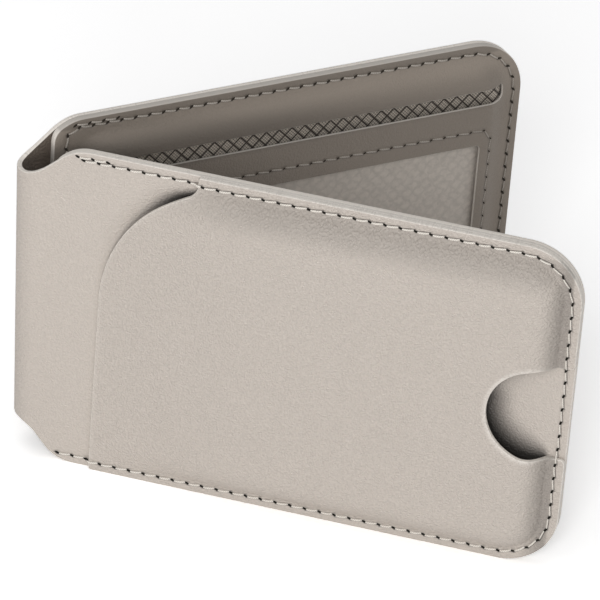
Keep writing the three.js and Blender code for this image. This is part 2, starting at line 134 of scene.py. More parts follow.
def spot(name, value, description):
    """A point that the user can change, in metres."""
    return FloatVectorProperty(
        name=name, description=description, default=value, size=3, unit="LENGTH", subtype="TRANSLATION",
    )


class HolderSizes(bpy.types.PropertyGroup):
    """Lengths of the holder's leather, pocket, window and seams."""

    front_length: length("Front length", 93.3, "Front cover from the fold's shoulder to its free edge")
    back_length: length("Back length", 91.7, "Back cover from the fold's shoulder to its free edge")
    corner: length("Corner", 10.6, "Radius of the corners at the free edges")
    bend: length("Bend", 4.5, "Radius of the fold's outer face")
    neck: length("Neck", 5.3, "Flat cover between the shoulder and the bend")
    shoulder_drop: length("Shoulder drop", 6.6, "How much lower the fold is than the covers, at each end")
    front_shoulder: length("Front shoulder", 0.6, "Where the front's sloping shoulder leaves the long edge", -1)
    back_shoulder: length("Back shoulder", -0.5, "Where the back's sloping shoulder leaves the long edge", -1)
    fold_lean: length("Fold lean", 0.9, "How far the fold leans out at its top and in at its bottom")
    shoulder_round: length("Shoulder rounding", 2.2, "Reach of the rounding at the shoulders")
    cover_leather: length("Cover leather", 0.9, "Thickness of the cover leather")
    pocket_leather: length("Pocket leather", 0.8, "Thickness of the moulded card pocket")
    lining_leather: length("Lining leather", 0.8, "Thickness of the front cover's inner leather")
    window_leather: length("Window leather", 1.0, "Thickness of the back cover's inner leather")
    pared_leather: length("Pared leather", 0.5, "Thickness of the back cover's inner leather at its slot and window")
    edge_round: length("Edge rounding", 0.16, "Radius worn on the cut edges")
    glue: length("Glue line", 0.1, "Gap that the glue fills between two layers")
    pocket_start: length("Pocket start", 7.0, "Open edge of the card pocket, from the shoulder")
    arc_radius: length("Thumb arc radius", 27.4, "Radius of the arc cut from the pocket's upper corner")
    arc_height: length("Thumb arc height", 35.834, "Height of the arc's centre")
    arc_end: length("Thumb arc end", 23.7, "Where the pocket meets the upper edge, from the shoulder")
    arc_fillet: length("Thumb arc fillet", 2.4, "Radius between the arc and the upper edge")
    rise: length("Pocket rise", 3.4, "How far the moulded pocket stands over its border")
    wall: length("Pocket wall", 5.4, "Width over which the pocket's moulded wall rises")
    ramp: length("Pocket ramp", 30.0, "Length over which the pocket rises from its open edge")
    foot: length("Pocket foot", 3.0, "From the free edge to the foot of the moulded wall")
    long_foot: length("Pocket side foot", 2.4, "From the long edges to the foot of the moulded wall")
    notch_radius: length("Notch radius", 9.3, "Radius of the thumb notch")
    notch_inset: length("Notch inset", 5.0, "From the free edge to the centre of the thumb notch")
    lining_start: length("Lining overhang", 2.9, "How far the linings reach past the shoulder into the fold")
    front_swell: length("Front swell", 0.95, "How far the front lining swells over its board")
    back_swell: length("Back swell", 2.2, "How far the back lining swells over its board")
    swell_wall: length("Swell wall", 5.0, "Width over which the linings swell")
    fabric_wall: length("Fabric wall", 3.5, "Width over which the woven lining swells")
    slot_start: length("Slot start", 0.4, "Fold-side end of the slot, from the shoulder")
    slot_end: length("Slot end", 87.5, "Free-side end of the slot, from the shoulder")
    slot_low: length("Slot low", 52.7, "Lower lip of the slot")
    slot_high: length("Slot high", 55.7, "Upper lip of the slot")
    window_start: length("Window start", 10.8, "Fold-side edge of the window, from the shoulder")
    window_end: length("Window end", 82.8, "Free-side edge of the window, from the shoulder")
    window_low: length("Window low", 8.9, "Lower edge of the window")
    window_high: length("Window high", 44.3, "Upper edge of the window")
    window_corner: length("Window corner", 0.9, "Radius of the window's corners")
    film: length("Film", 0.15, "Thickness of the window film")
    fabric: length("Fabric", 0.2, "Thickness of the woven lining")
    seam_inset: length("Seam inset", 1.6, "From the cut edge to the row of stitches")
    seam_corner: length("Seam corner", 9.0, "Radius of the seam at the corners of the free edges")
    seam_first: length("Seam start", 0.85, "First stitch of the front seam, on the lower edge, from the shoulder")
    seam_last: length("Seam end", 2.55, "Last stitch of the front seam, on the upper edge, from the shoulder")
    tack_gap: length("Back-tack gap", 0.55, "From a row of stitches to the row that locks its end")
    stitch: length("Stitch", 2.75, "From one needle hole to the next")
    thread: length("Thread", 0.38, "Thickness of the thread")
    hole_length: length("Hole length", 1.10, "Length of a needle hole")
    hole_width: length("Hole width", 0.46, "Width of a needle hole")
    lattice: length("Lattice", 2.6, "From one line of the lining's lattice to the next")


class HolderColours(bpy.types.PropertyGroup):
    """Colours of the leathers, threads and other materials."""

    leather: colour("Leather", (0.546, 0.49, 0.439), "Outer leather")
    # The lining leather is darker than the outer leather: partly its own tone, partly painted shade for the inside of
    # the covers.
    lining: colour("Lining leather", (0.275, 0.236, 0.198), "Leather inside the covers")
    edge: colour("Cut edge", (0.80, 0.75, 0.69), "Sealed edge of the outer leather")
    lining_edge: colour("Lining edge", (0.74, 0.69, 0.63), "Sealed edge of the lining leather")
    # The flesh side's dark brown is partly its own tone and partly painted shade, for the inside of the fold and the
    # cavity under the pocket.
    flesh: colour("Flesh side", (0.125, 0.10, 0.08), "Back of the leathers, seen in the fold and inside the pocket")
    thread: colour("Thread", (0.82, 0.77, 0.70), "Sewing thread")
    # The lining thread is darkened the same way: partly its own tone, partly painted shade.
    lining_thread: colour("Lining thread", (0.42, 0.38, 0.335), "Sewing thread on the linings")
    # The needle holes' near-black colours are painted shade for the inside of the holes.
    hole: colour("Needle hole", (0.02, 0.018, 0.015), "Inside of a needle hole")
    lining_hole: colour("Lining needle hole", (0.05, 0.042, 0.034), "Inside of a needle hole of the linings")
    fabric: colour("Fabric", (0.62, 0.55, 0.47), "Woven lining behind the window")
    lattice: colour("Lattice", (0.045, 0.034, 0.026), "Dark lattice printed on the woven lining")
    film: colour("Film", (0.70, 0.635, 0.565), "Frosted window film")
    board: colour("Board", (0.33, 0.30, 0.26), "Pressed board inside the covers")
    magnet: colour("Magnet", (0.62, 0.61, 0.60), "Plated magnets")
    steel: colour("Steel", (0.45, 0.45, 0.46), "Shield plate behind the magnets")
    floor: colour("Floor", (0.92, 0.92, 0.925), "Studio floor")


class HolderStage(bpy.types.PropertyGroup):
    """Lamps, surround and camera of the picture."""

    key_power: watts("Key power", 1.8, "Low soft lamp from the left")
    front_power: watts("Front power", 2.6, "Low lamp from the front")
    raised_power: watts("Raised power", 2.9, "Lamp from the front that throws the floor's shadow")
    top_power: watts("Top power", 1.2, "Faint lamp from above")
    surround: FloatProperty(name="Surround", description="Even light from all round", default=0.42, min=0)
    glow: FloatProperty(
        name="Floor glow", description="How much paler the camera and reflections see the floor", default=0.78, min=0,
    )
    camera_place: spot("Camera place", (0.19975, -0.86336, 0.5566), "Where the camera stands")
    camera_aim: spot("Camera aim", (0.00045, -0.03016, 0.0408), "Point that the camera looks at")
    camera_roll: FloatProperty(
        name="Camera roll", description="Turn about the line of sight", default=math.radians(4.76),
        subtype="ANGLE", unit="ROTATION",
    )
    camera_lens: FloatProperty(
        name="Focal length", description="For a sensor 36 mm wide", default=341.3, min=1, unit="CAMERA",
    )


# Places on the covers


class Cover:
    """One cover: v runs from the fold's shoulder to the free edge, z up and depth inward from the outer face."""

    def __init__(self, sizes, shoulder, angle, facing):
        self.shoulder = np.array(shoulder)
        self.along = np.array([math.cos(angle), math.sin(angle)])
        self.inward = facing * np.array([-math.sin(angle), math.cos(angle)])
        self.bend, self.neck, self.drop, self.lean = sizes.bend, sizes.neck, sizes.shoulder_drop, sizes.fold_lean

    def place(self, v, z, depth):
        """Points in the row frame. Past the neck the sheet turns round a circle of the bend radius,
        one radian for each radius of length, and depth shortens the radius. The fold leans along the line
        that halves the opening, by a share of the height over its middle that eases in from the shoulder."""
        v, z, depth = np.broadcast_arrays(v, z, depth)
        turn = np.maximum(-self.neck - v, 0) / self.bend
        reach = np.maximum(v, -self.neck) - (self.bend - depth) * np.sin(turn)
        sink = self.bend - (self.bend - depth) * np.cos(turn)
        lean = self.lean * (z - HEIGHT / 2) / (HEIGHT / 2 - self.drop) * smooth(-v / (self.neck + self.bend))
        halving = np.array([math.cos(HALF_OPENING), math.sin(HALF_OPENING)])
        flat = self.shoulder + reach[..., None] * self.along + sink[..., None] * self.inward - lean[..., None] * halving
        return np.concatenate([flat, z[..., None] + FLOOR], axis=-1)


def covers(sizes):
    """The front and back covers, mirrored about the line that halves their opening. Both hinges are on the covers'
    outer faces."""
    face = frame["joints"][1]["pos_m"][1]
    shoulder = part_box("front_cover")[1].x - sizes.front_length
    tangent = sizes.bend / math.tan(HALF_OPENING) + sizes.neck
    opening = 2 * HALF_OPENING
    back = np.array([shoulder - tangent, face]) + tangent * np.array([math.cos(opening), math.sin(opening)])
    return Cover(sizes, (shoulder, face), 0, 1), Cover(sizes, back, opening, -1)


def mid_line(sizes):
    """Length of leather from the shoulder to the middle of the fold."""
    return -(sizes.neck + sizes.bend * (math.pi / 2 - HALF_OPENING))


# Shapes as distances: above nothing inside, below nothing outside


def rounded_box(v, z, left, right, low, high, corner):
    """Distance inward from the edge of a box whose corners are quarter circles."""
    dv = np.maximum(left - v, v - right) + corner
    dz = np.maximum(low - z, z - high) + corner
    outside = np.hypot(np.maximum(dv, 0), np.maximum(dz, 0))
    return corner - outside - np.minimum(np.maximum(dv, dz), 0)


def soft_lower(a, b, reach):
    """The lower of two values, rounded where they are nearer to each other than the reach."""
    nearness = np.maximum(reach - np.abs(a - b), 0) / reach
    return np.minimum(a, b) - nearness**2 * reach / 4


def soft_higher(a, b, reach):
    """The higher of two values, rounded in the same way."""
    return -soft_lower(-a, -b, reach)


def smooth(t):
    """Goes from nothing to one as t does, level at both ends."""
    t = np.clip(t, 0, 1)
    return t * t * (3 - 2 * t)


def eased(distance, start, width):
    """Goes from nothing to one over a width from its start on, both in millimetres."""
    return smooth((distance - start * MM) / (width * MM))


def cover_outline(sizes, reach):
    """Outline of a cover: a long box with two round corners, cut back by a sloping shoulder at each end of the fold."""
    start = sizes.front_shoulder if reach == sizes.front_length else sizes.back_shoulder

    def outline(v, z):
        box = rounded_box(v, z, FAR, reach, 0, HEIGHT, sizes.corner)
        for rise in (z, HEIGHT - z):
            slope = (rise + v - start) / math.sqrt(2)
            shoulder = soft_higher(slope, rise - sizes.shoulder_drop, sizes.shoulder_round)
            box = soft_lower(box, shoulder, sizes.shoulder_round)
        return box
    return outline


def lining_outline(sizes, reach):
    """Outline of a lining: the cover's, ending a little way into the fold."""
    cover = cover_outline(sizes, reach)
    return lambda v, z: soft_lower(cover(v, z), v + sizes.lining_start, LINING_JOIN)


def notch_distance(sizes, v, z):
    """Distance from the thumb notch, a circle that runs straight out of the free edge."""
    centre = sizes.front_length - sizes.notch_inset
    return np.hypot(np.minimum(v - centre, 0), z - HEIGHT / 2) - sizes.notch_radius


def pocket_outline(sizes):
    """Outline of the card pocket: the cover's free end, an open edge that turns into the thumb arc,
    a small fillet where the arc meets the upper edge, and the notch."""
    cover = cover_outline(sizes, sizes.front_length)
    arc = np.array([sizes.pocket_start + sizes.arc_radius, sizes.arc_height])
    fillet_v = sizes.arc_end - sizes.arc_fillet
    reach = sizes.arc_radius + sizes.arc_fillet
    fillet = np.array([fillet_v, arc[1] + math.sqrt(reach**2 - (arc[0] - fillet_v) ** 2)])
    towards = (arc - fillet) / reach

    def outline(v, z):
        circle = sizes.arc_radius - np.hypot(v - arc[0], z - arc[1])
        circle = np.where(v < arc[0], circle, sizes.arc_radius - np.abs(z - arc[1]))
        above = np.maximum(circle, v - sizes.arc_end)
        fv, fz = v - fillet[0], z - fillet[1]
        in_fillet = (fz < 0) & (towards[0] * fz - towards[1] * fv > 0)
        above = np.where(in_fillet, np.hypot(fv, fz) - sizes.arc_fillet, above)
        open_edge = np.where(z > arc[1], above, v - sizes.pocket_start)
        edge = np.minimum(cover(v, z), open_edge)
        return soft_lower(edge, notch_distance(sizes, v, z), NOTCH_JOIN)
    return outline


def slot_distance(sizes, v, z):
    """Distance inward from the edge of the slot, with rounded corners."""
    corner = (sizes.slot_high - sizes.slot_low) / 2 * SLOT_CORNER
    return rounded_box(v, z, sizes.slot_start, sizes.slot_end, sizes.slot_low, sizes.slot_high, corner)


def window_distance(sizes, v, z):
    """Distance inward from the edge of the window."""
    return rounded_box(
        v, z, sizes.window_start, sizes.window_end, sizes.window_low, sizes.window_high, sizes.window_corner,
    )


def window_outline(sizes):
    """Outline of the back lining, with the slot and the window cut out."""
    lining = lining_outline(sizes, sizes.back_length)
    return lambda v, z: np.minimum(
        lining(v, z), -np.maximum(slot_distance(sizes, v, z), window_distance(sizes, v, z)),
    )


# Faces as depths


def level(depth):
    """A level face."""
    return lambda v, z: np.full_like(v, depth)


def pocket_border(sizes):
    """Depth of the pocket's border, a leather and a glue line proud of the cover."""
    return -(sizes.pocket_leather + sizes.glue)


def pocket_face(sizes):
    """Depth of the moulded pocket: from its foot the wall rises steeply and levels out evenly, and the whole rise
    eases in along the ramp from the open edge."""
    def face(v, z):
        foot = rounded_box(
            v, z, FAR, sizes.front_length - sizes.foot, sizes.long_foot, HEIGHT - sizes.long_foot,
            sizes.corner - sizes.foot,
        )
        wall = 1 - (1 - np.clip(foot / sizes.wall, 0, 1)) ** WALL_POWER
        return pocket_border(sizes) - sizes.rise * wall * smooth((v - sizes.pocket_start) / sizes.ramp)
    return face


def cover_face(sizes):
    """Depth of the front cover's outer face: it dips a little beside the pocket's arc, in its upper half."""
    edge = pocket_outline(sizes)

    def face(v, z):
        near = np.exp(-np.square((edge(v, z) - 0.3 * MM) / DIP_REACH))
        upper = smooth((z - 0.5 * HEIGHT) / (0.35 * HEIGHT))
        under_edge = eased(HEIGHT - z, 2, 4)
        return DIP * near * upper * under_edge * (v < sizes.arc_radius)
    return face


def swollen_face(sizes, reach, border, swell, wall):
    """Depth of a lining's visible face: level along the border, swelling over the board inside it."""
    def face(v, z):
        foot = rounded_box(
            v, z, SWELL_START, reach - SWELL_FOOT, SWELL_FOOT, HEIGHT - SWELL_FOOT, sizes.corner - SWELL_FOOT,
        )
        return border + swell * smooth(foot / wall)
    return face


def window_face(sizes):
    """Depth of the back lining: its border lies on the fabric, and it swells over the board."""
    border = sizes.cover_leather + sizes.glue + sizes.fabric + sizes.glue + sizes.window_leather
    return swollen_face(sizes, sizes.back_length, border, sizes.back_swell, sizes.swell_wall)


def window_thickness(sizes):
    """Thickness of the back lining: turned down to the cover along its edge, full in the border and pared down
    inside it."""
    edge = lining_outline(sizes, sizes.back_length)

    def thickness(v, z):
        away = edge(v, z)
        turned = (sizes.fabric + (1 + GLUE_FILL) * sizes.glue) * (1 - eased(away, 0.5, 0.4))
        pared = (sizes.pared_leather - sizes.window_leather) * eased(away, 2.8, 1.2)
        return turned + sizes.window_leather + pared
    return thickness


# Seams


class Seam:
    """A row of stitches, evenly spaced along straight runs joined by round corners."""

    def __init__(self, corners, radii, stitch, closed=False):
        path = rounded_path(corners, radii, closed)
        run = np.concatenate([[0], np.cumsum(np.hypot(*np.diff(path, axis=0).T))])
        places = np.linspace(0, run[-1], round(run[-1] / stitch) + 1)
        self.holes = np.stack([np.interp(places, run, side) for side in path.T], -1)
        self.closed = closed

    def stitches(self):
        """Start and end of each stitch."""
        return self.holes[:-1], self.holes[1:]

    def pierced(self):
        """Each needle hole and the row's direction there. The last hole of a closed row is its first one again."""
        ahead = np.roll(self.holes, -1, 0) - self.holes
        behind = self.holes - np.roll(self.holes, 1, 0)
        if self.closed:
            return self.holes[:-1], (ahead + behind)[:-1]
        ahead[-1], behind[0] = behind[-1], ahead[0]
        return self.holes, ahead + behind

    def coordinates(self, v, z):
        """For each point: stitches counted along the row, millimetres across it, and one, or nothing where the
        point lies past an end of the row."""
        start, end = self.stitches()
        run = end - start
        gap = np.stack([v, z], -1)[:, None, :] - start
        part = (gap * run).sum(-1) / (run * run).sum(-1)
        held = np.clip(part, 0, 1)
        away = gap - held[..., None] * run
        distance = np.hypot(away[..., 0], away[..., 1])
        nearest = distance.argmin(1)
        pick = (np.arange(len(v)), nearest)
        run, gap, part = run[nearest], gap[pick], part[pick]
        side = np.where(run[:, 0] * gap[:, 1] - run[:, 1] * gap[:, 0] < 0, -1.0, 1.0)
        beyond = ((nearest == 0) & (part < -0.2)) | ((nearest == len(start) - 1) & (part > 1.2))
        beside = np.where(beyond & (not self.closed), 0.0, 1.0)
        return np.stack([nearest + held[pick], side * distance[pick] / MM, beside], -1)


def rounded_path(corners, radii, closed):
    """Points along straight runs, each corner replaced by the arc that touches both runs."""
    corners = np.array(corners, float)
    points = []
    for i, (corner, radius) in enumerate(zip(corners, radii)):
        if radius == 0:
            points.append(corner[None])
            continue
        before = corners[i - 1] - corner
        after = corners[(i + 1) % len(corners)] - corner
        before, after = before / np.hypot(*before), after / np.hypot(*after)
        inner = (before + after) / np.hypot(*(before + after))
        half = math.acos(np.clip(before @ after, -1, 1)) / 2
        centre = corner + inner * radius / math.sin(half)
        start = corner + before * radius / math.tan(half) - centre
        end = corner + after * radius / math.tan(half) - centre
        turn = math.pi - 2 * half
        t = np.linspace(0, 1, 25)[:, None]
        points.append(centre + (np.sin((1 - t) * turn) * start + np.sin(t * turn) * end) / math.sin(turn))
    path = np.concatenate(points)
    return np.concatenate([path, path[:1]]) if closed else path


# Meshes


def new_piece(name, points, faces, material, uv, attributes=None):
    """A mesh object from points and arrays of faces with 3 or 4 corners. It turns the faces outward where
    the volume that they close comes out below nothing."""
    tetra = 0.0
    for face in faces:
        a = points[face[:, 0]]
        for k in range(1, face.shape[1] - 1):
            tetra += np.einsum("ij,ij->", a, np.cross(points[face[:, k]], points[face[:, k + 1]]))
    if tetra < 0:
        faces = [face[:, ::-1] for face in faces]
    loops = np.concatenate([face.ravel() for face in faces]).astype(np.int32)
    sides = np.concatenate([np.full(len(face), face.shape[1]) for face in faces])
    starts = np.concatenate([[0], np.cumsum(sides)[:-1]]).astype(np.int32)
    mesh = bpy.data.meshes.new(name)
    mesh.vertices.add(len(points))
    mesh.vertices.foreach_set("co", points.astype(np.float32).ravel())
    mesh.loops.add(len(loops))
    mesh.loops.foreach_set("vertex_index", loops)
    mesh.polygons.add(len(sides))
    mesh.polygons.foreach_set("loop_start", starts)
    mesh.update(calc_edges=True)
    mesh.uv_layers.new(name="UVMap").data.foreach_set("uv", uv[loops].astype(np.float32).ravel())
    for key, values in (attributes or {}).items():
        kind, field = ("FLOAT", "value") if values.ndim == 1 else ("FLOAT_VECTOR", "vector")
        mesh.attributes.new(key, kind, "POINT").data.foreach_set(field, values.astype(np.float32).ravel())
    mesh.shade_smooth()
    mesh.set_sharp_from_angle(angle=math.radians(50))
    mesh.materials.append(material)
    piece = bpy.data.objects.new(name, mesh)
    bpy.context.scene.collection.objects.link(piece)
    return piece


def graded(*stops):
    """Places along one side of a grid: each stop is a place and the spacing from there on, in millimetres, and the
    last one ends it."""
    parts = []
    for (start, gap), (end, _) in zip(stops, stops[1:]):
        parts.append(np.linspace(start, end, max(1, round((end - start) / (gap * MM))), endpoint=False))
    return np.concatenate(parts + [np.array([stops[-1][0]])])


def slopes(shape, v, z):
    """How fast a shape's value grows along v and along z, from points a hair apart."""
    hair = 1e-6
    return (
        (shape(v + hair, z) - shape(v - hair, z)) / (2 * hair),
        (shape(v, z + hair) - shape(v, z - hair)) / (2 * hair),
    )


def trimmed_grid(columns, rows, outline, inset):
    """A grid over v and z, cut along the line where the outline's distance equals the inset. Crossing points within
    half a spacing of that line slide onto it down the outline's slope. Returns places, faces and their border."""
    v, z = np.meshgrid(columns, rows, indexing="ij")
    gaps_v, gaps_z = (
        np.maximum(np.diff(a, prepend=a[0] - 1e-9), np.diff(a, append=a[-1] + 1e-9)) for a in (columns, rows)
    )
    slope_v, slope_z = slopes(outline, v, z)
    half, least_slope = 0.505, 0.05  # a little over half, so that no crossing is missed
    window = half * np.maximum(np.abs(slope_v) * gaps_v[:, None], np.abs(slope_z) * gaps_z[None, :])
    distance = outline(v, z) - inset
    on_line = np.abs(distance) <= window
    inside = on_line | (distance > 0)
    for _ in range(4):
        distance = outline(v, z) - inset
        slope_v, slope_z = slopes(outline, v, z)
        steep = np.maximum(slope_v**2 + slope_z**2, least_slope)
        v = np.where(on_line, v - distance * slope_v / steep, v)
        z = np.where(on_line, z - distance * slope_z / steep, z)
    index = np.arange(v.size).reshape(v.shape)
    corners = np.stack([index[:-1, :-1], index[1:, :-1], index[1:, 1:], index[:-1, 1:]], -1).reshape(-1, 4)
    v, z, on_line = v.ravel(), z.ravel(), on_line.ravel()
    kept = inside.ravel()[corners]
    quads = corners[kept.all(1)]
    three = kept.sum(1) == 3
    triangles = corners[three][kept[three]].reshape(-1, 3)
    faces = [face[area(v, z, face) > SLIVER] for face in (quads, triangles)]
    edges = np.concatenate([np.stack([face, np.roll(face, -1, 1)], -1).reshape(-1, 2) for face in faces])
    key = edges.min(1) * v.size + edges.max(1)
    _, first, uses = np.unique(key, return_index=True, return_counts=True)
    border = edges[first[uses == 1]]
    used = np.unique(np.concatenate([face.ravel() for face in faces]))
    new = np.zeros(v.size, int)
    new[used] = np.arange(len(used))
    return v[used], z[used], on_line[used], [new[face] for face in faces], new[border]


def area(v, z, face):
    """Area of flat faces, as half the sum of each corner crossed with the next."""
    fv, fz = v[face], z[face]
    return 0.5 * np.abs((fv * np.roll(fz, -1, 1) - np.roll(fv, -1, 1) * fz).sum(1))


def lip_shade(sizes):
    """Painted shade on the cover beside and under the pocket: it darkens from a little over a lip's own height away,
    and less below a lip than above one, until under the lip no light reaches it."""
    edge, face = pocket_outline(sizes), pocket_face(sizes)

    def shade(v, z):
        away, height = edge(v, z), -face(v, z)
        _, up = slopes(edge, v, z)
        tall = np.clip((height - 0.7 * MM) / (1.3 * MM), 0, 1)
        return smooth(0.78 + 0.65 * away / height) * tall * (1 - 0.75 * smooth(2 * up) * (away < 0))
    return shade


def crease_shade(sizes):
    """Painted shade inside the pocket's seam, standing in for the shading of the moulded wall: darkest along the
    crease, more beside the free edge than under the upper one, and gone where the wall has levelled out."""
    top_dark, right_dark = 0.23, 0.42

    def shade(v, z):
        above, beside = HEIGHT - sizes.seam_inset - z, sizes.front_length - sizes.seam_inset - v
        top = top_dark * (1 - eased(above, 2.5, 5))
        right = right_dark * (1 - eased(beside, 1.0, 4))
        inside = eased(np.minimum(above, beside), 0, 0.4)
        return np.maximum(top, right) * inside * smooth((v - sizes.pocket_start) / sizes.ramp)
    return shade


def border_shade(sizes):
    """Painted shade on the back lining: in the border above its upper seam, and above the slot below the swell's lit
    shoulder, where it is darkest next to the fold."""
    border_dark, deep_dark, deep_fade = 0.32, 0.46, 0.26

    def shade(v, z):
        below = HEIGHT - sizes.seam_inset - z
        border = border_dark * eased(-below, -0.5, 0.6)
        border = border * (1 - eased(v - sizes.back_length, -8, 6))
        deep = deep_dark - deep_fade * eased(v, 12, 60)
        deep = deep * eased(below, 2.2, 2.8) * (1 - eased(v - sizes.slot_end, -4, 6))
        return np.maximum(border, deep * (1 - 0.6 * eased(sizes.slot_low - z, 0, 1)))
    return shade


def lip_highlight(sizes):
    """A painted highlight: a pale band just inside the pocket's open lips, where the raised, rounded lip catches
    the light, paler where the lip stands higher.
    """
    edge, cover, face = pocket_outline(sizes), cover_outline(sizes, sizes.front_length), pocket_face(sizes)

    def band(v, z):
        away = edge(v, z)
        pale = 0.2 + 0.8 * eased(-face(v, z), 2.2, 1.5)
        return pale * np.exp(-np.square((away - 0.3 * MM) / (0.3 * MM))) * eased(cover(v, z) - away, 0, 1)
    return band


def cut_sheet(name, cover, columns, rows, outline, face, thickness, side, rounding, material, marks):
    """A closed sheet. Its visible face has the depth that face gives, and the sheet lies on the inner side of it when
    side is one and on the outer side when it is minus one. The sheet is as thick square to its slope as it is flat,
    up to a steepest slope, and its cut edge is a half round of two quarter circles with a straight run between them.
    Each mark is stored as an attribute."""
    steepest, least_slope = 1.6, 0.2
    v, z, on_line, faces, border = trimmed_grid(columns, rows, outline, rounding)
    depth = face(v, z)
    slope_v, slope_z = slopes(face, v, z)
    through = thickness(v, z) if callable(thickness) else thickness
    through = through * np.minimum(np.sqrt(1 + slope_v**2 + slope_z**2), steepest)
    rim = np.unique(border)
    place_in_rim = np.zeros(len(v), int)
    place_in_rim[rim] = np.arange(len(rim))
    out_v, out_z = slopes(outline, v[rim], z[rim])
    size = np.maximum(np.hypot(out_v, out_z), least_slope)
    out_v, out_z = (np.where(on_line[rim], -out / size, 0) for out in (out_v, out_z))
    all_v, all_z, all_depth, edge, under = [v], [z], [depth], [np.zeros(len(v))], [np.zeros(len(v))]
    rings = [rim]
    count = len(v)
    steps = [math.radians(a) for a in (30, 60, 90)]
    profile = [(math.sin(a), 1 - math.cos(a), 0) for a in steps]
    profile += [(math.sin(a), math.cos(a) - 1, 1) for a in steps[::-1]]
    for out, down, from_below in profile:
        all_v.append(v[rim] + out_v * rounding * out)
        all_z.append(z[rim] + out_z * rounding * out)
        all_depth.append(depth[rim] + side * (rounding * down + through[rim] * from_below))
        edge.append(np.full(len(rim), 1.0 if from_below else min(1.0, out * 1.2)))
        under.append(np.full(len(rim), float(from_below)))
        rings.append(count + np.arange(len(rim)))
        count += len(rim)
    rings.append(count + rim)
    all_v, all_z = np.concatenate(all_v + [v]), np.concatenate(all_z + [z])
    all_depth = np.concatenate(all_depth + [depth + side * through])
    attributes = {
        "edge": np.concatenate(edge + [np.zeros(len(v))]), "under": np.concatenate(under + [np.ones(len(v))]),
        **{key: mark(all_v, all_z) for key, mark in marks.items()},
    }
    lower = [count + f[:, ::-1] for f in faces]
    a, b = place_in_rim[border[:, 0]], place_in_rim[border[:, 1]]
    sides = [np.stack([up[b], up[a], low[a], low[b]], -1) for up, low in zip(rings, rings[1:])]
    quads = np.concatenate([faces[0], lower[0]] + sides)
    triangles = np.concatenate([faces[1], lower[1]])
    points, uv = cover.place(all_v, all_z, all_depth), np.stack([all_v, all_z], -1)
    return new_piece(name, points, [quads, triangles], material, uv, attributes)


def tube_faces(count, rings, around):
    """Faces of many short tubes, each with rings of points and a point at either end."""
    points = rings * around + 2
    ring, turn = np.meshgrid(np.arange(rings - 1), np.arange(around), indexing="ij")
    here, there = ring * around + turn, ring * around + (turn + 1) % around
    quads = np.stack([here, there, there + around, here + around], -1).reshape(-1, 4)
    turn = np.arange(around)
    following = (turn + 1) % around
    first = np.stack([following, turn, np.full(around, points - 2)], -1)
    last = np.stack([turn, following, np.full(around, points - 1)], -1)
    last[:, :2] += (rings - 1) * around
    offsets = points * np.arange(count)[:, None, None]
    return [(quads + offsets).reshape(-1, 4), (np.concatenate([first, last]) + offsets).reshape(-1, 3)]


def tubes(name, cover, rings, tips, material, uv=None):
    """Many short tubes as one mesh. Rings holds v, z and depth for each tube, ring and point round it, and tips
    holds them for each tube's two end points."""
    rings = np.broadcast_arrays(*rings)
    count, *shape = rings[0].shape
    v, z, depth = (np.concatenate([ring.reshape(count, -1), tip], 1) for ring, tip in zip(rings, tips))
    if uv is None:
        uv = np.stack([v, z], -1).reshape(-1, 2)
    return new_piece(name, cover.place(v, z, depth).reshape(-1, 3), tube_faces(count, *shape), material, uv)


def sew(name, cover, rows, face, side, sizes, material, rise):
    """Threads of one seam, a short tube from each hole to the next. It rises over the leather as half a sine wave, by
    a share called rise, thins towards its ends and beside the free edge, and lies askew, one end on either side of
    the row."""
    rings, around, first, last = 6, 6, 0.16, 0.84
    start, end = (np.concatenate(ends) for ends in zip(*(row.stitches() for row in rows)))
    t = np.linspace(first, last, rings)[None, :, None]
    turn = np.linspace(0, 2 * math.pi, around, endpoint=False)[None, None, :]
    run = end - start
    across = np.stack([-run[:, 1], run[:, 0]], -1) / np.hypot(run[:, 0], run[:, 1])[:, None]
    arch, sink, flat = np.sin(math.pi * t), 0.32, 0.9
    slim = 1 - 0.36 * eased(start[:, 0] - start[:, 0].max(), -5, 4)[:, None, None]
    radius = sizes.thread / 2 * slim * (0.45 + 0.55 * arch**0.5)
    sway = SLANT * side * (1 - 2 * t) + radius * np.cos(turn)
    lift = sizes.thread * (0.75 * rise * arch**0.7 - sink) + radius * np.sin(turn) * flat
    v, z = (start[:, k, None, None] + run[:, k, None, None] * t + across[:, k, None, None] * sway for k in (0, 1))
    centre = start[:, None] + run[:, None] * t[0, :, :]
    depth = face(centre[..., 0], centre[..., 1])[..., None] - side * lift
    ends = np.stack([start + across * SLANT * side, end - across * SLANT * side], 1)
    sunk = face(ends[..., 0], ends[..., 1]) + side * sizes.thread * 0.5
    twist = np.stack(np.broadcast_arrays(t[0], turn[0] / (2 * math.pi)), -1).reshape(-1, 2)
    uv = np.tile(np.concatenate([twist, [[0, 0], [1, 0]]]), (len(start), 1))
    return tubes(name, cover, (v, z, depth), (ends[..., 0], ends[..., 1], sunk), material, uv)


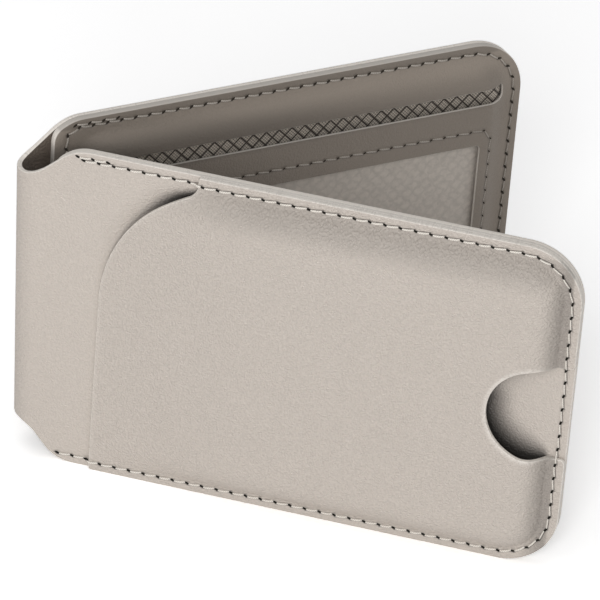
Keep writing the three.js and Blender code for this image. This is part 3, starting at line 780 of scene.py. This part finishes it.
def pierce(name, cover, rows, face, side, sizes, material, share):
    """Needle holes of one seam, shown as dark lenses of painted shade let into the leather. Each is a rounded
    diamond, turned askew from the row, and sinks from its rim to its middle. Its size is a share of the whole one."""
    skew, power = (-0.35 if side > 0 else 0.6), 1.5
    holes, ways = (np.concatenate(parts) for parts in zip(*(row.pierced() for row in rows)))
    turn = np.linspace(0, 2 * math.pi, 10, endpoint=False)
    size = (np.abs(np.cos(turn)) ** power + np.abs(np.sin(turn)) ** power) ** (-1 / power)
    spread = np.array([0.98, 1.0, 0.7])[:, None]
    lift = np.array([0.07, 0.0, -0.2])[:, None] * MM
    along = spread * size * np.cos(turn) * share * sizes.hole_length / 2
    across = spread * size * np.sin(turn) * share * sizes.hole_width / 2
    angle = np.arctan2(ways[:, 1], ways[:, 0]) + skew
    c, s = np.cos(angle)[:, None, None], np.sin(angle)[:, None, None]
    v = holes[:, 0, None, None] + along * c - across * s
    z = holes[:, 1, None, None] + along * s + across * c
    ground = face(holes[:, 0], holes[:, 1])
    middle = np.stack([ground - side * 0.09 * MM, ground + side * 0.25 * MM], 1)
    tips = np.repeat(holes[:, :1], 2, 1), np.repeat(holes[:, 1:], 2, 1), middle
    return tubes(name, cover, (v, z, ground[:, None, None] - side * lift), tips, material)


# Materials


class Value:
    """An output socket that adds, subtracts and multiplies like a number, with one Math node for each step."""

    def __init__(self, tree, socket):
        self.tree, self.socket = tree, socket

    def __add__(self, other):
        return self.tree.math("ADD", self, other)

    def __sub__(self, other):
        return self.tree.math("SUBTRACT", self, other)

    def __mul__(self, other):
        return self.tree.math("MULTIPLY", self, other)


class Tree:
    """The node tree of a new material or world, grown by short calls that each return a value."""

    def __init__(self, owner):
        owner.use_nodes = True
        self.owner, self.nodes, self.links = owner, owner.node_tree.nodes, owner.node_tree.links

    def add(self, kind, inputs, output=0, **settings):
        """A node of a kind, with its settings and its inputs."""
        node = self.nodes.new(kind)
        for key, value in settings.items():
            setattr(node, key, value)
        self.fill(node, inputs)
        return Value(self, node.outputs[output])

    def fill(self, node, inputs):
        """Links the values among a node's inputs, and sets the plain numbers."""
        for key, value in inputs.items():
            if isinstance(value, Value):
                self.links.new(value.socket, node.inputs[key])
            else:
                node.inputs[key].default_value = value

    def finish(self, inputs):
        """The material, once the inputs of its shader are filled."""
        self.fill(self.nodes["Principled BSDF"], inputs)
        return self.owner

    def math(self, operation, a, b=0.0):
        """One arithmetic step."""
        return self.add("ShaderNodeMath", {0: a, 1: b}, operation=operation)

    def highest(self, *values):
        """The highest of several values."""
        return functools.reduce(functools.partial(self.math, "MAXIMUM"), values)

    def ramp(self, value, low, high, out_low=0.0, out_high=1.0):
        """A value eased from one range to another."""
        inputs = {"Value": value, "From Min": low, "From Max": high, "To Min": out_low, "To Max": out_high}
        return self.add("ShaderNodeMapRange", inputs, "Result", interpolation_type="SMOOTHSTEP")

    def mix(self, factor, *tones):
        """Two colours mixed, each a value or red, green and blue."""
        a, b = (tone if isinstance(tone, Value) else (*tone, 1) for tone in tones)
        return self.add("ShaderNodeMix", {0: factor, 6: a, 7: b}, 2, data_type="RGBA")

    def parts(self, place):
        """The three parts of a place."""
        node = self.nodes.new("ShaderNodeSeparateXYZ")
        self.fill(node, {0: place})
        return [Value(self, socket) for socket in node.outputs]

    def stored_uv(self):
        """Place on the flat leather in metres, or along and round a thread."""
        return self.add("ShaderNodeUVMap", {}, uv_map="UVMap")

    def flat_place(self):
        """Place on the flat leather, in millimetres."""
        return self.add("ShaderNodeMapping", {"Vector": self.stored_uv(), "Scale": (1 / MM,) * 3})

    def attribute(self, name, output="Fac"):
        """A value stored on the mesh."""
        return self.add("ShaderNodeAttribute", {}, output, attribute_name=name)

    def noise(self, place, scale, detail=2.0, roughness=0.5):
        """Cloudy noise."""
        inputs = {"Vector": place, "Scale": scale, "Detail": detail, "Roughness": roughness}
        return self.add("ShaderNodeTexNoise", inputs)

    def bump(self, height, distance, normal=None):
        """A normal bent by a height."""
        inputs = {"Height": height, "Distance": distance, "Strength": 1.0}
        if normal is not None:
            inputs["Normal"] = normal
        return self.add("ShaderNodeBump", inputs)

    def lattice(self, v, z, pitch):
        """Distance along v to the nearest of two sets of slanting lines that cross."""
        return self.math("MINIMUM", *(self.math("PINGPONG", v + z * sign, pitch / 2) for sign in (1.0, -1.0)))

    def seen(self):
        """One where the camera, a reflection or a clear piece shows the surface, and nothing for other rays."""
        rays = self.nodes.new("ShaderNodeLightPath").outputs
        return self.highest(*(Value(self, rays[f"Is {kind} Ray"]) for kind in ("Glossy", "Transmission", "Camera")))


def darker(tone, share):
    """A colour, darkened to a share."""
    return tuple(part * share for part in tone)


def leather_material(name, sizes, tones, seams, lean, grain):
    """Fine-grained leather. Rounded cells and fine noise press the grain, broad noise mottles the colour, each seam
    draws a groove with a dimple at every hole, darkened with painted shade, and a painted shadow beside each thread,
    on the side that the threads lean to. A painted highlight runs along the pocket's lips, the flesh side is darkened
    partly as painted shade, and the cut edge, the flesh side and the painted shade have their own colours."""
    base, edge, flesh = tones
    # Strengths of the painted shadow beside the threads, darker on the outer leather, and of the painted shade.
    thread_shadow_dark, shade_dark = (0.75 if lean < 0 else 0.4), 0.96
    tree = Tree(bpy.data.materials.new(name))
    place = tree.flat_place()
    cells = tree.add(
        "ShaderNodeTexVoronoi", {"Vector": place, "Scale": 2.8, "Smoothness": 0.6, "Randomness": 1.0}, "Distance",
        feature="SMOOTH_F1",
    )
    fine, broad = tree.noise(place, 5.0, 3.0, 0.6), tree.noise(place, 0.11, 3.0, 0.55)
    normal = tree.bump(tree.ramp(cells, 0.15, 0.75) * -1.0 + fine * 0.6, 0.15 * MM * grain)
    pulls, lines = [], []
    for key in seams:
        stitch, across, beside = tree.parts(tree.attribute(key, "Vector"))
        along = tree.math("PINGPONG", stitch, 0.5) * (sizes.stitch / MM)
        near = across * across
        groove = tree.math("EXPONENT", near * -5.0)
        dimple = tree.math("EXPONENT", (near + along * along) * -7.0)
        pulls.append((groove * 0.45 + dimple) * beside)
        # The painted shadow beside each thread, on the side it leans to.
        askew = (tree.math("FRACT", stitch) - 0.5) * (-0.34 * lean)
        off = across - askew - 0.22 * lean
        lines.append(tree.math("EXPONENT", off * off * -110.0) * beside)
    pull, line = tree.highest(*pulls), tree.highest(*lines)
    normal = tree.bump(pull * -1.0, 0.16 * MM, normal)
    shade = tree.mix(tree.ramp(broad, 0.3, 0.7, 0.0, 0.1), base, darker(base, 0.86))
    shade = tree.mix(tree.ramp(cells, 0.35, 0.85, 0.0, 0.36 * grain), shade, darker(base, 0.66))
    # Painted shade in the seam's groove and dimples.
    shade = tree.mix(pull * 0.22, shade, darker(base, 0.5))
    # Painted shadow beside each thread.
    shade = tree.mix(line * thread_shadow_dark, shade, darker(base, 0.2))
    # The flesh side on the back faces, darkened partly as painted shade.
    under = tree.mix(tree.noise(place, 1.2, 4.0, 0.7), darker(flesh, 0.7), flesh)
    shade = tree.mix(tree.attribute("under"), shade, under)
    shade = tree.mix(tree.attribute("edge"), shade, edge)
    # Painted highlight along the pocket's open lips, in the cut edge's colour.
    shade = tree.mix(tree.attribute("rim") * 0.6, shade, edge)
    # Painted shade from the dark mark, darkening towards near black.
    shade = tree.mix(tree.attribute("dark") * shade_dark, shade, darker(base, 0.04))
    return tree.finish({
        "Base Color": shade, "Roughness": tree.ramp(fine, 0.3, 0.7, 0.50, 0.62), "Normal": normal,
        "Specular IOR Level": 0.35,
    })


def leather_tones(colours):
    """Face, cut edge and flesh side of the outer leather."""
    return colours.leather, colours.edge, colours.flesh


def lining_tones(colours):
    """Face, cut edge and flesh side of the lining leather."""
    return colours.lining, colours.lining_edge, colours.flesh


def thread_material(name, base):
    """Twisted thread: slanting strands by the thread's own length and turn."""
    tree = Tree(bpy.data.materials.new(name))
    along, turn, _ = tree.parts(tree.stored_uv())
    strand = tree.math("PINGPONG", along * 7.0 + turn * 2.0, 0.5)
    shade = tree.mix(tree.ramp(strand, 0.0, 0.25), darker(base, 0.55), base)
    return tree.finish({"Base Color": shade, "Normal": tree.bump(strand, 0.08 * MM), "Roughness": 0.6})


def hole_shade_material(name, base):
    """Painted shade for the inside of a needle hole: dark and a little uneven."""
    tree = Tree(bpy.data.materials.new(name))
    shade = tree.mix(tree.noise(tree.flat_place(), 3.0), base, darker(base, 0.4))
    return tree.finish({"Base Color": shade, "Roughness": 0.9, "Specular IOR Level": 0.1})


def fabric_material(sizes, colours):
    """Woven lining: fine warp and weft ribs, with a dark lattice of crossing slanted lines."""
    rib = 0.62  # millimetres
    tree = Tree(bpy.data.materials.new("woven_lining"))
    v, z, _ = tree.parts(tree.flat_place())
    dark = tree.ramp(tree.lattice(v, z, sizes.lattice / MM) * (1 / math.sqrt(2)), 0.08, 0.24, 1.0, 0.0)
    weave = tree.math("SINE", v * (2 * math.pi / rib)) * tree.math("SINE", z * (2 * math.pi / rib))
    ground = tree.mix(tree.ramp(weave, -0.5, 0.5), darker(colours.fabric, 0.38), colours.fabric)
    return tree.finish({
        "Base Color": tree.mix(dark, ground, colours.lattice), "Normal": tree.bump(weave, 0.05 * MM),
        "Roughness": 0.85, "Sheen Weight": 0.1,
    })


def film_material(sizes, colours):
    """Frosted film: mostly clouded, with the lining's lattice showing through as a soft wavering pattern."""
    tree = Tree(bpy.data.materials.new("window_film"))
    place = tree.flat_place()
    cloud = tree.noise(place, 0.9, 4.0, 0.65)
    v, z, _ = tree.parts(place)
    waver = (tree.noise(place, 0.8) - 0.5) * 3.4
    behind = tree.ramp(tree.lattice(v + waver, z, sizes.lattice / MM), 0.0, 0.8)
    mottle = behind * 0.5 + tree.ramp(cloud, 0.3, 0.7, 0.0, 0.5)
    shade = tree.mix(mottle, darker(colours.film, 0.78), colours.film)
    return tree.finish({"Base Color": shade, "Normal": tree.bump(cloud, 0.03 * MM), "Roughness": 0.42, "Alpha": 0.8})


def plain_material(name, base, roughness, metallic, spots, depth):
    """Board or metal of the hidden parts: cloudy colour and a fine uneven face, on Object coordinates."""
    tree = Tree(bpy.data.materials.new(name))
    place = tree.add("ShaderNodeTexCoord", {}, "Object")
    cloud = tree.noise(place, 1 / spots, 4.0, 0.6)
    return tree.finish({
        "Base Color": tree.mix(cloud, darker(base, 0.8), base), "Roughness": roughness, "Metallic": metallic,
        "Normal": tree.bump(tree.noise(place, 4 / spots), depth),
    })


# Seams of this holder


def front_seam(sizes):
    """Seam of the front cover: in along the lower edge, round the free end and back along the upper edge."""
    right, low, high = sizes.front_length - sizes.seam_inset, sizes.seam_inset, HEIGHT - sizes.seam_inset
    corners = [(sizes.seam_first, low), (right, low), (right, high), (sizes.seam_last, high)]
    return Seam(corners, [0, sizes.seam_corner, sizes.seam_corner, 0], sizes.stitch)


def closed_seam(sizes, left, right, low, high, corner):
    """Seam all round a box, with the given corners on its right side."""
    corners = [(left, low), (right, low), (right, high), (left, high)]
    return Seam(corners, [SEAM_TURN, corner, corner, SEAM_TURN], sizes.stitch, closed=True)


def back_seam(sizes):
    """Seam of the back cover, all round its lining."""
    inset = sizes.seam_inset
    left, right = -sizes.lining_start + inset + SEAM_CLEAR, sizes.back_length - inset
    return closed_seam(sizes, left, right, inset, HEIGHT - inset, sizes.seam_corner)


def window_seam(sizes):
    """Seam that holds the film: just outside the window."""
    left, right = sizes.window_start - WINDOW_SEAM, sizes.window_end + WINDOW_SEAM
    return closed_seam(
        sizes, left, right, sizes.window_low - WINDOW_SEAM, sizes.window_high + WINDOW_SEAM_TOP, SEAM_TURN,
    )


def tack(sizes, start, count):
    """Short second row that locks a seam's end on the upper edge: so many stitches from its start on."""
    high = HEIGHT - sizes.seam_inset + sizes.tack_gap
    return Seam([(start + count * sizes.stitch, high), (start, high)], [0, 0], sizes.stitch)


def front_ground(sizes):
    """Depth that the front seam's threads lie on: the cover up to the pocket's edge, and then the pocket's border."""
    pocket, border = pocket_outline(sizes), pocket_border(sizes)
    return lambda v, z: border * eased(pocket(v, z), -1.1, 1.3)


# Operators


class HOLDER_OT_covers(bpy.types.Operator):
    """Cut the two halves of the cover leather and bend them round the fold"""

    bl_idname = "holder.covers"
    bl_label = "Cover leather"

    def execute(self, context):
        sizes, colours = context.scene.holder_sizes, context.scene.holder_colours
        front, back = covers(sizes)
        middle = mid_line(sizes)
        leather = leather_material("cover_leather", sizes, leather_tones(colours), ["seam"], -1, 0.6)
        rows = graded((0, 0.3), (3 * MM, 0.5), (HEIGHT - 3 * MM, 0.3), (HEIGHT, None))
        bend = (middle, 0.03), (middle + 0.03 * MM, 0.3)
        columns = graded(
            *bend, (-sizes.neck, 0.4), (sizes.pocket_start + sizes.arc_radius, 1.5), (FREE_END, 0.4),
            (sizes.front_length, None),
        )
        # The cover's dark mark is painted shade beside and under the pocket's lips.
        piece = cut_sheet(
            "front_cover_leather", front, columns, rows, cover_outline(sizes, sizes.front_length), cover_face(sizes),
            sizes.cover_leather, 1, sizes.edge_round, leather,
            {"seam": front_seam(sizes).coordinates, "dark": lip_shade(sizes)},
        )
        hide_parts("front_cover", "fold_leather")
        front.place(middle, HEIGHT / 2, 0)
        front.place(-sizes.neck, HEIGHT / 2, 0)
        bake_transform(piece)
        columns = graded(*bend, (-sizes.neck, 0.5), (sizes.back_length, None))
        piece = cut_sheet(
            "back_cover_leather", back, columns, rows, cover_outline(sizes, sizes.back_length), level(0),
            sizes.cover_leather, 1, sizes.edge_round, leather, {"seam": back_seam(sizes).coordinates},
        )
        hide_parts("back_cover", "fold_leather")
        back.place(middle, HEIGHT / 2, 0)
        back.place(-sizes.neck, HEIGHT / 2, 0)
        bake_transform(piece)
        return {"FINISHED"}


class HOLDER_OT_pocket(bpy.types.Operator):
    """Mould the card pocket with its thumb arc, ramp, raised face and notch"""

    bl_idname = "holder.pocket"
    bl_label = "Card pocket"

    def execute(self, context):
        sizes, colours = context.scene.holder_sizes, context.scene.holder_colours
        leather = leather_material("pocket_leather", sizes, leather_tones(colours), ["seam"], -1, 0.85)
        right, wall_low, wall_high = sizes.front_length, 2.6 * MM, 7 * MM
        columns = graded(
            (sizes.pocket_start, 0.35), (26 * MM, 0.6), (FREE_END, 0.4), (right - wall_high, 0.22),
            (right - wall_low, 0.35), (right, None),
        )
        rows = graded(
            (0, 0.35), (wall_low, 0.22), (wall_high, 0.5), (HEIGHT - wall_high, 0.22), (HEIGHT - wall_low, 0.35),
            (HEIGHT, None),
        )
        # The pocket's dark mark is painted shade along its crease.
        piece = cut_sheet(
            "card_pocket_leather", covers(sizes)[0], columns, rows, pocket_outline(sizes), pocket_face(sizes),
            sizes.pocket_leather + GLUE_FILL * sizes.glue, 1, sizes.edge_round, leather,
            # The pocket's rim mark is a painted highlight along its open lips.
            {"seam": front_seam(sizes).coordinates, "rim": lip_highlight(sizes), "dark": crease_shade(sizes)},
        )
        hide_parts("card_pocket")
        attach(piece, "front")
        return {"FINISHED"}


class HOLDER_OT_linings(bpy.types.Operator):
    """Cut the front lining and the back lining with its slot and window"""

    bl_idname = "holder.linings"
    bl_label = "Lining leather"

    def execute(self, context):
        sizes, colours = context.scene.holder_sizes, context.scene.holder_colours
        front, back = covers(sizes)
        start, tones = -sizes.lining_start, lining_tones(colours)
        rows = graded((0, 0.35), (6 * MM, 0.6), (HEIGHT - 6 * MM, 0.35), (HEIGHT, None))
        columns = graded((start, 0.4), (4 * MM, 0.6), (sizes.front_length - 7 * MM, 0.35), (sizes.front_length, None))
        border = sizes.cover_leather + sizes.glue + sizes.lining_leather
        piece = cut_sheet(
            "front_lining_leather", front, columns, rows, lining_outline(sizes, sizes.front_length),
            swollen_face(sizes, sizes.front_length, border, sizes.front_swell, sizes.swell_wall),
            sizes.lining_leather + GLUE_FILL * sizes.glue, -1, sizes.edge_round,
            leather_material("front_lining_leather", sizes, tones, ["seam"], 1, 0.4),
            {"seam": front_seam(sizes).coordinates},
        )
        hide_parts("front_lining")
        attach(piece, "front")
        rows = graded(
            (0, 0.35), (6 * MM, 0.5), (sizes.window_low - 1 * MM, 0.3), (sizes.window_low + 1.5 * MM, 0.7),
            (sizes.window_high - 1.5 * MM, 0.3), (sizes.window_high + 1 * MM, 0.5),
            (sizes.slot_low - 0.5 * MM, 0.25), (sizes.slot_high + 0.5 * MM, 0.4), (HEIGHT, None),
        )
        columns = graded(
            (start, 0.4), (sizes.window_start + 1.5 * MM, 0.6), (sizes.window_end - 1.5 * MM, 0.4),
            (sizes.back_length, None),
        )
        marks = {"seam": back_seam(sizes).coordinates, "window_seam": window_seam(sizes).coordinates}
        # The back lining's dark mark is painted shade.
        piece = cut_sheet(
            "window_leather", back, columns, rows, window_outline(sizes), window_face(sizes),
            window_thickness(sizes), -1, sizes.edge_round,
            leather_material("window_leather", sizes, tones, list(marks), 1, 0.25),
            {**marks, "dark": border_shade(sizes)},
        )
        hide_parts("window_panel")
        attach(piece, "back")
        return {"FINISHED"}


class HOLDER_OT_window(bpy.types.Operator):
    """Lay the woven lining over the board and the film over it"""

    bl_idname = "holder.window"
    bl_label = "Woven lining and film"

    def execute(self, context):
        sizes, colours = context.scene.holder_sizes, context.scene.holder_colours
        back = covers(sizes)[1]
        rows = graded((0, 0.4), (6 * MM, 0.9), (HEIGHT - 6 * MM, 0.4), (HEIGHT, None))
        columns = graded(
            (-sizes.lining_start, 0.4), (4 * MM, 0.9), (sizes.back_length - 7 * MM, 0.4), (sizes.back_length, None),
        )
        border = sizes.cover_leather + sizes.glue + sizes.fabric
        leather = lining_outline(sizes, sizes.back_length)
        fabric_round, film_round, film_corner = 0.06 * MM, 0.05 * MM, 1 * MM
        piece = cut_sheet(
            "woven_lining", back, columns, rows, lambda v, z: leather(v, z) - FABRIC_INSET,
            swollen_face(sizes, sizes.back_length, border, FABRIC_SWELL, sizes.fabric_wall),
            sizes.fabric, -1, fabric_round, fabric_material(sizes, colours), {},
        )
        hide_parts("pocket_lining")
        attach(piece, "back")
        left, right = sizes.window_start - FILM_LAP, sizes.window_end + FILM_LAP
        low, high = sizes.window_low - FILM_LAP, sizes.window_high + FILM_TOP_LAP
        piece = cut_sheet(
            "frosted_film", back, graded((left, 1), (right, None)), graded((low, 1), (high, None)),
            lambda v, z: rounded_box(v, z, left, right, low, high, film_corner), level(FILM_DEPTH),
            sizes.film, -1, film_round, film_material(sizes, colours), {},
        )
        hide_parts("window_film")
        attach(piece, "back")
        return {"FINISHED"}


class HOLDER_OT_seams(bpy.types.Operator):
    """Sew every seam: threads and needle holes on both faces of each cover"""

    bl_idname = "holder.seams"
    bl_label = "Stitching"

    def execute(self, context):
        sizes, colours = context.scene.holder_sizes, context.scene.holder_colours
        front, back = covers(sizes)
        finishes = {
            "leather": (thread_material("thread", colours.thread), hole_shade_material("needle_hole", colours.hole)),
            "lining_leather": (
                thread_material("lining_thread", colours.lining_thread),
                hole_shade_material("lining_hole", colours.lining_hole),
            ),
        }
        border = sizes.cover_leather + sizes.glue + sizes.lining_leather
        front_tack, back_tack = sizes.seam_last - 0.4 * sizes.stitch, 0.3 * sizes.stitch
        on_front = [front_seam(sizes), tack(sizes, front_tack, 2)]
        on_back = [back_seam(sizes), tack(sizes, back_tack, 3)]
        seams = [  # rise of the threads and size of the holes come last: the window's seam is drawn in deeper
            ("front_seam_outer", front, "front", on_front, front_ground(sizes), 1, 1.0, 1.0),
            ("front_seam_inner", front, "front", on_front, level(border), -1, 1.0, 1.0),
            ("back_seam_outer", back, "back", on_back, level(0), 1, 1.0, 1.0),
            ("back_seam_inner", back, "back", on_back, window_face(sizes), -1, 1.0, 1.0),
            ("window_seam", back, "back", [window_seam(sizes)], window_face(sizes), -1, 0.35, 0.55),
        ]
        for name, cover, body, rows, face, side, rise, share in seams:
            slot = "leather" if side > 0 else "lining_leather"
            thread, hole = finishes[slot]
            for piece in (
                sew(name + "_thread", cover, rows, face, side, sizes, thread, rise),
                pierce(name + "_holes", cover, rows, face, side, sizes, hole, share),
            ):
                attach(piece, body)
        return {"FINISHED"}


class HOLDER_OT_inner_parts(bpy.types.Operator):
    """Give the boards, magnets and shield inside the covers their board and metal"""

    bl_idname = "holder.inner_parts"
    bl_label = "Boards and magnets"

    def execute(self, context):
        colours = context.scene.holder_colours
        finishes = {  # the shield's name is looked for first, because it also holds the word magnet
            "shield": plain_material("shield_steel", colours.steel, 0.38, 1.0, 2.5 * MM, 0.006 * MM),
            "board": plain_material("pressed_board", colours.board, 0.9, 0.0, 0.6 * MM, 0.04 * MM),
            "magnet": plain_material("plated_magnet", colours.magnet, 0.3, 1.0, 1.5 * MM, 0.004 * MM),
        }
        for name, node in frame["nodes"].items():
            kind = next((key for key in finishes if key in name), None)
            if kind:
                for slot in node.material_slots:
                    slot.material = finishes[kind]
        return {"FINISHED"}


class HOLDER_OT_stage(bpy.types.Operator):
    """Set up the pale floor, the soft lamps and the camera"""

    bl_idname = "holder.stage"
    bl_label = "Floor, lamps and camera"

    def execute(self, context):
        scene, stage, colours = context.scene, context.scene.holder_stage, context.scene.holder_colours
        self.floor(stage, colours)
        self.surround(scene, stage)
        for name, *where in LAMPS:
            self.lamp(name + "_lamp", *where, getattr(stage, name + "_power"))
        self.camera(scene, stage)
        scene.view_settings.view_transform = "Standard"
        return {"FINISHED"}

    @staticmethod
    def floor(stage, colours):
        """A wide floor whose edges curve out of sight: level near the object and rising with the fourth power of
        the distance. The camera and reflections see it paler than it lights the holder."""
        x, y = np.meshgrid(np.linspace(-3, 3, 61), np.linspace(-3, 3, 61), indexing="ij")
        z = FLOOR + 0.002 * np.hypot(x, y) ** 4
        index = np.arange(x.size).reshape(x.shape)
        quads = np.stack([index[:-1, :-1], index[1:, :-1], index[1:, 1:], index[:-1, 1:]], -1).reshape(-1, 4)
        tree = Tree(bpy.data.materials.new("studio_floor"))
        tree.finish({"Base Color": (*colours.floor, 1), "Roughness": 1.0, "Specular IOR Level": 0.0})
        matt = Value(tree, tree.nodes["Principled BSDF"].outputs[0])
        pale = tree.add("ShaderNodeBsdfDiffuse", {"Color": tree.seen() * stage.glow})
        tree.fill(tree.nodes["Material Output"], {"Surface": tree.add("ShaderNodeAddShader", {0: matt, 1: pale})})
        mesh = bpy.data.meshes.new("floor")
        mesh.from_pydata(np.stack([x, y, z], -1).reshape(-1, 3), [], quads)
        mesh.shade_smooth()
        mesh.materials.append(tree.owner)
        floor = bpy.data.objects.new("floor", mesh)
        bpy.context.scene.collection.objects.link(floor)

    @staticmethod
    def surround(scene, stage):
        """Even pale light from all round, white where the camera sees it."""
        scene.world = bpy.data.worlds.new("surround")
        tree = Tree(scene.world)
        strength = tree.ramp(tree.seen(), 0.0, 1.0, stage.surround)
        tree.fill(tree.nodes["Background"], {"Color": (1, 1, 1, 1), "Strength": strength})

    @staticmethod
    def lamp(name, azimuth, elevation, distance, width, height, power):
        """A level oblong lamp that faces the middle of the holder from a direction in degrees."""
        turn, rise = math.radians(azimuth), math.radians(elevation)
        away = Vector((math.sin(turn) * math.cos(rise), -math.cos(turn) * math.cos(rise), math.sin(rise)))
        data = bpy.data.lights.new(name, "AREA")
        data.energy, data.shape, data.size, data.size_y = power, "RECTANGLE", width, height
        lamp = bpy.data.objects.new(name, data)
        lamp.location = Vector((0, 0, FLOOR + HEIGHT / 2)) + away * distance
        lamp.rotation_mode = "QUATERNION"
        lamp.rotation_quaternion = (-away).to_track_quat("-Z", "Y")
        lamp.visible_camera = False
        bpy.context.scene.collection.objects.link(lamp)

    @staticmethod
    def camera(scene, stage):
        """The photograph's camera: it looks along the line from its place to its aim, rolled about that line."""
        data = bpy.data.cameras.new("camera")
        data.sensor_width, data.lens = 36, stage.camera_lens
        data.clip_start, data.clip_end = 0.05, 20
        place = Vector(stage.camera_place)
        forward = (Vector(stage.camera_aim) - place).normalized()
        across = forward.cross(Vector((0, 0, 1))).normalized()
        right = math.cos(stage.camera_roll) * across + math.sin(stage.camera_roll) * across.cross(forward)
        turn = Matrix((right, right.cross(forward), -forward)).transposed().to_4x4()
        camera = bpy.data.objects.new("camera", data)
        camera.matrix_world = Matrix.Translation(place) @ turn
        scene.collection.objects.link(camera)
        scene.camera = camera


class HOLDER_PT_dressing(bpy.types.Panel):
    """Lists the steps that dress the holder"""

    bl_idname = "HOLDER_PT_dressing"
    bl_label = "Card holder"
    bl_space_type = "VIEW_3D"
    bl_region_type = "UI"
    bl_category = "Card holder"

    def draw(self, context):
        for step in STEPS:
            self.layout.operator(step.bl_idname)
        for group in (context.scene.holder_sizes, context.scene.holder_colours, context.scene.holder_stage):
            box = self.layout.box()
            for key in group.bl_rna.properties.keys():
                if key not in ("rna_type", "name"):
                    box.prop(group, key)


STEPS = (
    HOLDER_OT_stage, HOLDER_OT_covers, HOLDER_OT_pocket, HOLDER_OT_linings, HOLDER_OT_window, HOLDER_OT_seams,
    HOLDER_OT_inner_parts,
)
GROUPS = {"holder_sizes": HolderSizes, "holder_colours": HolderColours, "holder_stage": HolderStage}
CLASSES = (*GROUPS.values(), *STEPS, HOLDER_PT_dressing)


def register():
    """Adds the groups of settings, the steps and the panel."""
    for kind in CLASSES:
        bpy.utils.register_class(kind)
    for key, group in GROUPS.items():
        setattr(bpy.types.Scene, key, PointerProperty(type=group))


def unregister():
    """Takes them away again."""
    for key in GROUPS:
        delattr(bpy.types.Scene, key)
    for kind in reversed(CLASSES):
        bpy.utils.unregister_class(kind)


def main():
    """Dresses the holder step by step."""
    register()
    bpy.ops.holder.stage()
    bpy.ops.holder.covers()
    bpy.ops.holder.pocket()
    bpy.ops.holder.linings()
    bpy.ops.holder.window()
    bpy.ops.holder.seams()
    bpy.ops.holder.inner_parts()


if __name__ == "__main__":
    main()
